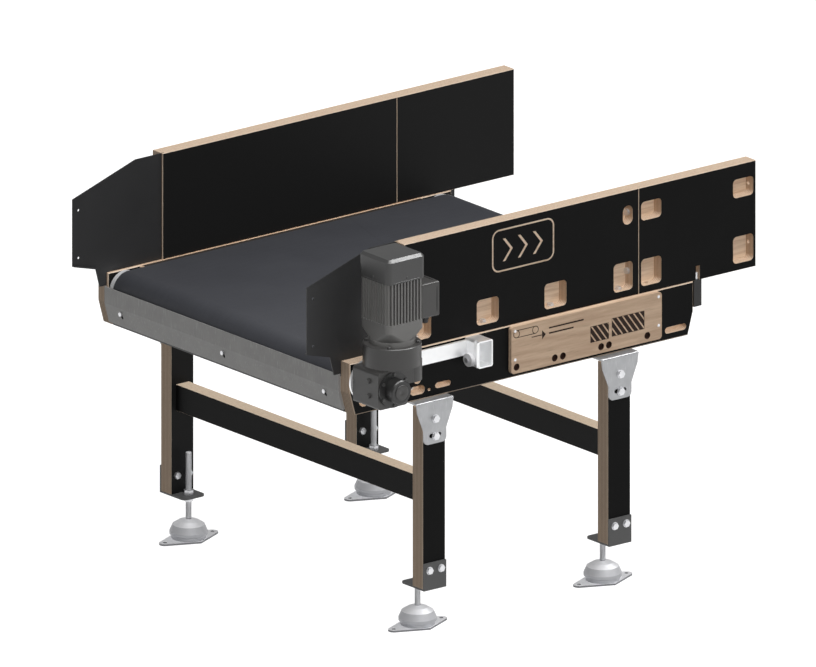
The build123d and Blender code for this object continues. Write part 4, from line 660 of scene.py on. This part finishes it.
def beltCover(name):
    # fine cross weave under a matt cover, streaks along the run, one slanting splice
    paint = Paint(name, uv=True)
    run, across = paint.x, paint.y
    weave = (run * (2 * math.pi / belt["weave"])).sine() * (across * (2 * math.pi / belt["weave"])).sine()
    streak = paint.noise(12, 5, 0.6, (0.35, 6, 1))
    cloud = paint.noise(6, 5, 0.6)
    offset = abs(run - belt["spliceAt"] - across * belt["spliceSlope"])
    splice = 1 - paint.step(offset, *belt["spliceWidth"])
    shade = paint.blend(streak * 0.4 + cloud * 0.5, tint(49, 50, 56), tint(63, 65, 71))
    shade = paint.blend(splice * 0.6, shade, tint(40, 41, 45))
    edge = abs(across) > span("belt", 1)[1] - belt["edgeBand"]
    shade = paint.blend(edge * 0.6, shade, tint(36, 36, 38))
    return paint.finish(shade, 0.62 + cloud * 0.12 - streak * 0.08,
                        height=weave * 0.35 - splice + cloud * 0.4, depth=0.0004, strength=0.5)


beltSkin = beltLoop()
beltSkin.data.materials.append(beltCover("beltCover"))
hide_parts("belt")
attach(beltSkin, "frame")
print("belt done")


gearDetails = {
    "plugWidth": 0.014,
    "plugHeight": 0.006,
    "plugRises": (-0.018, 0.024),            # plugs on the flat side, from the shaft
    "drainAlong": 0.006,                     # plug underneath, from the shaft
    "capProfile": [(0.0215, 0), (0.0215, 0.0014), (0.0195, 0.0022), (0.006, 0.0022),
                   (0.005, 0.0016), (0.001, 0.0016)],
    "boltCircle": 0.0705,
    "boltProfile": [(0.0062, -0.0004), (0.0062, 0.0048), (0.0046, 0.006)],
    "boltCount": 4,
    "lidStandOff": 0.0002,
    "bead": 0.0014,
    "beadRise": 0.003,
    "screwRise": 0.012,
    "squareness": 0.12,
    "glandProfile": [(0.0056, 0.0112), (0.0085, 0.0105), (0.0098, 0.0085), (0.0101, 0.004),
                     (0.0099, 0.0), (0.0056, 0.0002)],
    "glandRibs": (16, 0.022),                # how many, how deep as a share of the radius
    "rivetInset": 0.004,
    "nameplate": (0.052, 0.030, 0.0008),     # width, height, thickness
    "nameplateTurn": 150,                    # degrees round the flange from the near side
    "rivet": 0.0016,
    "gasket": 0.0010,
    "coverScrew": 0.0032,
}


def dress(piece, material, body="frame"):
    piece.data.materials.append(material)
    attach(piece, body)
    return piece


plateMetal = plated("nameplateMetal", tint(150, 151, 153), tint(176, 177, 179), 0.34, 120)
motorPaint = bpy.data.materials["motorPaint"]
moulding = bpy.data.materials["moulding"]

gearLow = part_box("gearbox_housing")[0]
gearAxis = drumAxis["drive"]


def hexPlug(centre, direction):
    # six-sided head: a turned profile with six sides, a round collar under it
    width, height = gearDetails["plugWidth"] / 2, gearDetails["plugHeight"]
    head = [(width * 0.72, height), (width, height * 0.78), (width, height * 0.2), (width * 0.9, 0)]
    collar = [(width * 1.15, 0.0012), (width * 1.2, 0.0008), (width * 1.2, -0.0005)]
    return joined([turned(head[::-1], centre, direction, 6), turned(collar[::-1], centre, direction, 24)])


plugY = gearAxis[1] + motorAxis[1]
plugPlaces = [((gearLow[0], plugY, gearAxis[2] + rise), (-1, 0, 0)) for rise in gearDetails["plugRises"]]
plugPlaces.append(((gearAxis[0] + gearDetails["drainAlong"], motorAxis[1], gearLow[2]), (0, 0, -1)))
points, faces = joined([hexPlug(*place) for place in plugPlaces])
dress(makePiece("oilPlugs", points, faces, smooth=False), motorPaint)

capFace = span("gearbox_end_cap", 1)[0]
points, faces = turned(gearDetails["capProfile"], (gearAxis[0], capFace, gearAxis[2]), (0, -1, 0), 48)
dress(makePiece("capDisc", points, faces), motorPaint)

adapterLow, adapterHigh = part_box("motor_adapter")


def flangeBolts():
    # hexagon heads spaced evenly on the motor flange
    heads = []
    count, circle = gearDetails["boltCount"], gearDetails["boltCircle"]
    for turn in (np.arange(count) + 0.5) * 2 * math.pi / count:
        x = motorAxis[0] + circle * math.cos(turn)
        y = motorAxis[1] + circle * math.sin(turn)
        heads.append(turned(gearDetails["boltProfile"], (x, y, adapterHigh[2]), (0, 0, 1), 6))
    return joined(heads)


points, faces = flangeBolts()
dress(makePiece("flangeBolts", points, faces, smooth=False), motorPaint)


def squareRing(centre, halfWidth, halfDepth, corner, radius, normalAxis, count=64):
    # a round bead carried along a rounded square: half * sign(cos) * |cos| to a power, and the same with sin
    angle = np.linspace(0, 2 * math.pi, count, endpoint=False)
    power = 2 / (2 + 5 * (1 - corner))
    u = halfWidth * np.sign(np.cos(angle)) * np.abs(np.cos(angle)) ** power
    v = halfDepth * np.sign(np.sin(angle)) * np.abs(np.sin(angle)) ** power
    zero = np.zeros(count)
    if normalAxis == 2:
        path = np.stack([u, v, zero], 1)
        up = np.tile([0, 0, 1.0], (count, 1))
    else:
        path = np.stack([zero, u, v], 1)
        up = np.tile([1.0, 0, 0], (count, 1))
    along = np.roll(path, -1, 0) - np.roll(path, 1, 0)
    along /= np.linalg.norm(along, axis=1)[:, None]
    side = np.cross(along, up)
    return swept((path + np.array(centre), side, up), ringSection(radius, 8))


lidLow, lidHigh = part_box("terminal_lid")
lidMiddle = (lidLow[0], (lidLow[1] + lidHigh[1]) / 2, (lidLow[2] + lidHigh[2]) / 2)
lidHalfY, lidHalfZ = ((lidHigh[axis] - lidLow[axis]) / 2 + gearDetails["lidStandOff"] for axis in (1, 2))
points, faces = squareRing(lidMiddle, lidHalfY, lidHalfZ, gearDetails["squareness"], gearDetails["gasket"], 0)
dress(makePiece("lidGasket", points, faces), moulding)

coverLow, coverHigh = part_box("fan_cover")
coverHalf = (coverHigh[0] - coverLow[0]) / 2
beadMiddle = (motorAxis[0], motorAxis[1], coverLow[2] + gearDetails["beadRise"])
points, faces = squareRing(beadMiddle, coverHalf, coverHalf, gearDetails["squareness"],
                           gearDetails["bead"], 2)
dress(makePiece("coverBead", points, faces), bpy.data.materials["fanCoverPaint"])


def coverScrews():
    # button heads low on the four sides of the fan cover
    heads = []
    for direction in ((1, 0), (-1, 0), (0, 1), (0, -1)):
        centre = (motorAxis[0] + direction[0] * coverHalf, motorAxis[1] + direction[1] * coverHalf,
                  coverLow[2] + gearDetails["screwRise"])
        r = gearDetails["coverScrew"]
        angle = np.linspace(0, math.pi / 2, 6)
        profile = np.stack([r * np.cos(angle) + 0.0002, 0.6 * r * np.sin(angle)], 1)
        heads.append(turned(profile, centre, (*direction, 0), 20))
    return joined(heads)


points, faces = coverScrews()
dress(makePiece("coverScrews", points, faces), bpy.data.materials["fanCoverPaint"])


def nameplate():
    # a blank plate bent round the flange, held by four rivets
    width, height, thick = gearDetails["nameplate"]
    radius = (adapterHigh[0] - adapterLow[0]) / 2
    facing = math.radians(gearDetails["nameplateTurn"])
    columns = 25
    u = facing + np.linspace(-width / 2, width / 2, columns) / radius
    z = np.array([-height / 2, height / 2]) + (adapterLow[2] + adapterHigh[2]) / 2
    turn, lift = np.meshgrid(u, z, indexing="ij")
    shell = []
    for r in (radius - 0.0002, radius + thick):
        shell.append(np.stack([motorAxis[0] + r * np.sin(turn), motorAxis[1] - r * np.cos(turn), lift], 2))
    loops = np.stack([shell[0][:, 0], shell[1][:, 0], shell[1][:, -1], shell[0][:, -1]], 1)
    ends = [[3, 2, 1, 0], list(range(4 * columns - 4, 4 * columns))]
    parts = [(loops.reshape(-1, 3), gridFaces(columns, 4, closeColumns=True).tolist() + ends)]
    inset = gearDetails["rivetInset"]
    for turn0 in (-width / 2 + inset, width / 2 - inset):
        for lift0 in (-height / 2 + inset, height / 2 - inset):
            a = facing + turn0 / radius
            way = (math.sin(a), -math.cos(a), 0)
            r = radius + thick
            centre = (motorAxis[0] + r * way[0], motorAxis[1] + r * way[1],
                      (adapterLow[2] + adapterHigh[2]) / 2 + lift0)
            angle = np.linspace(0, math.pi / 2, 5)
            rivet = gearDetails["rivet"]
            profile = np.stack([rivet * np.cos(angle) + 0.0001, 0.6 * rivet * np.sin(angle)], 1)
            parts.append(turned(profile, centre, way, 14))
    return joined(parts)


points, faces = nameplate()
dress(makePiece("blankNameplate", points, faces, smooth=False), plateMetal)


def glandDome():
    # ribbed clamping nut: a dome profile whose radius waves round it, once for each rib
    low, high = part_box("cable_gland")
    x, y = (low[0] + high[0]) / 2, (low[1] + high[1]) / 2
    profile = gearDetails["glandProfile"]
    return turned(profile, (x, y, low[2] + profile[0][1]), (0, 0, -1), 96, *gearDetails["glandRibs"])


points, faces = glandDome()
dress(makePiece("glandDome", points, faces), moulding)
print("gearmotor details done")


weld = {
    "radius": 0.0022,
    "ripple": 0.0017,
    "depth": 0.18,
    "inset": 0.006,               # from the arm's far end
    "heights": (0.040, 0.004),    # start and end below the arm's top
    "faces": (0.0002, 0.0072),    # the two faces of the bar, from the arm's outer side
}


def weldBead(start, end):
    # a bead along a line; its radius ripples with the length
    start, end = np.array(start), np.array(end)
    length = np.linalg.norm(end - start)
    count = int(length / weld["ripple"] * 5)
    t = np.linspace(0, 1, count)
    along = (end - start) / length
    helper = np.array([0, 0, 1.0]) if abs(along[2]) < 0.9 else np.array([1.0, 0, 0])
    side = np.cross(along, helper)
    up = np.cross(side, along)
    taper = np.sqrt(np.clip(1 - (2 * t - 1) ** 8, 0.02, 1))
    ripple = np.abs(np.sin(np.pi * t * length / weld["ripple"]))
    radius = weld["radius"] * taper * (1 - weld["depth"] * ripple)
    sides = 10
    angle = np.linspace(0, 2 * math.pi, sides, endpoint=False)
    ring = np.cos(angle)[:, None] * side + np.sin(angle)[:, None] * up
    points = start + (end - start) * t[:, None, None] + radius[:, None, None] * ring[None]
    faces = gridFaces(count, sides, closeColumns=True).tolist()
    faces.append(list(range(sides))[::-1])
    faces.append(list(range((count - 1) * sides, count * sides)))
    return points.reshape(-1, 3), faces


armLow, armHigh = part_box("torque_arm")
tabX = armHigh[0] - weld["inset"]
weldLow, weldHigh = (armHigh[2] - height for height in weld["heights"])
weldYs = [armLow[1] + face for face in weld["faces"]]
points, faces = joined([weldBead((tabX, y, weldLow), (tabX, y, weldHigh)) for y in weldYs])
dress(makePiece("armWelds", points, faces), bpy.data.materials["armZinc"])


floor = {"size": 14.0, "drop": 0.0002, "shade": tint(150, 150, 150), "glow": 0.9}
floorMesh = bpy.data.meshes.new("studioFloor")
s = floor["size"]
floorMesh.from_pydata([(-s, -s, -floor["drop"]), (s, -s, -floor["drop"]), (s, s, -floor["drop"]),
                       (-s, s, -floor["drop"])], [], [(0, 1, 2, 3)])
floorPiece = bpy.data.objects.new("studioFloor", floorMesh)
bpy.context.scene.collection.objects.link(floorPiece)
floorPaint = Paint("studioFloor")
floorPaint.shader.inputs["Emission Color"].default_value = (1, 1, 1, 1)
floorPaint.shader.inputs["Emission Strength"].default_value = floor["glow"]     # a lit table under the object
floorMesh.materials.append(floorPaint.finish(floor["shade"], 0.85, gloss=0.0))
floorPiece.visible_diffuse = False       # keeps the sides of the object in soft shade

lights = {
    "sun": {"way": (0.12, -0.46, 0.86), "power": 0.25, "angle": 24},
    "fill": {"way": (0.0, -0.40, 0.92), "power": 2.2, "angle": 40, "shadow": False},
    "rim": {"way": (0.60, -0.30, 0.74), "power": 1.6, "angle": 14, "glossOnly": True},
    "softbox": {"place": (0.2, -1.2, 4.4), "size": 4.5, "power": 40},
}
aimPoint = Vector((0, 0, 0.6))
skyStrength = 0.21
for name, light in lights.items():
    lamp = bpy.data.lights.new(name, "SUN" if "way" in light else "AREA")
    lamp.energy = light["power"]
    lamp.use_shadow = light.get("shadow", True)
    if "way" in light:
        lamp.angle = math.radians(light["angle"])
        aim = -Vector(light["way"])
    else:
        lamp.size = light["size"]
        aim = aimPoint - Vector(light["place"])
    lampObject = bpy.data.objects.new(name, lamp)
    lampObject.visible_diffuse = not light.get("glossOnly", False)
    lampObject.location = light.get("place", (0, 0, 5))
    lampObject.rotation_euler = aim.to_track_quat("-Z", "Y").to_euler()
    bpy.context.scene.collection.objects.link(lampObject)
sky = bpy.data.worlds.new("studioSky")
sky.use_nodes = True
sky.node_tree.nodes["Background"].inputs[0].default_value = (1, 1, 1, 1)
sky.node_tree.nodes["Background"].inputs[1].default_value = skyStrength
bpy.context.scene.world = sky
bpy.context.scene.view_settings.view_transform = "Standard"

camera = {"turn": -38.65, "lift": 17.556, "across": 0.03346, "up": 0.6105, "width": 2.2034, "distance": 6.0}
turn, lift = math.radians(camera["turn"]), math.radians(camera["lift"])
right = Vector((math.cos(turn), math.sin(turn), 0))
back = Vector((math.sin(turn) * math.cos(lift), -math.cos(turn) * math.cos(lift), math.sin(lift)))
upward = back.cross(right)
lens = bpy.data.cameras.new("camera")
lens.type = "ORTHO"
lens.ortho_scale = camera["width"]
lens.clip_end = 60
cameraObject = bpy.data.objects.new("camera", lens)
place = right * camera["across"] + upward * camera["up"] + back * camera["distance"]
turnMatrix = Matrix((right, upward, back)).transposed().to_4x4()
cameraObject.matrix_world = Matrix.Translation(place) @ turnMatrix
bpy.context.scene.collection.objects.link(cameraObject)
bpy.context.scene.camera = cameraObject
print("floor, light and camera done")
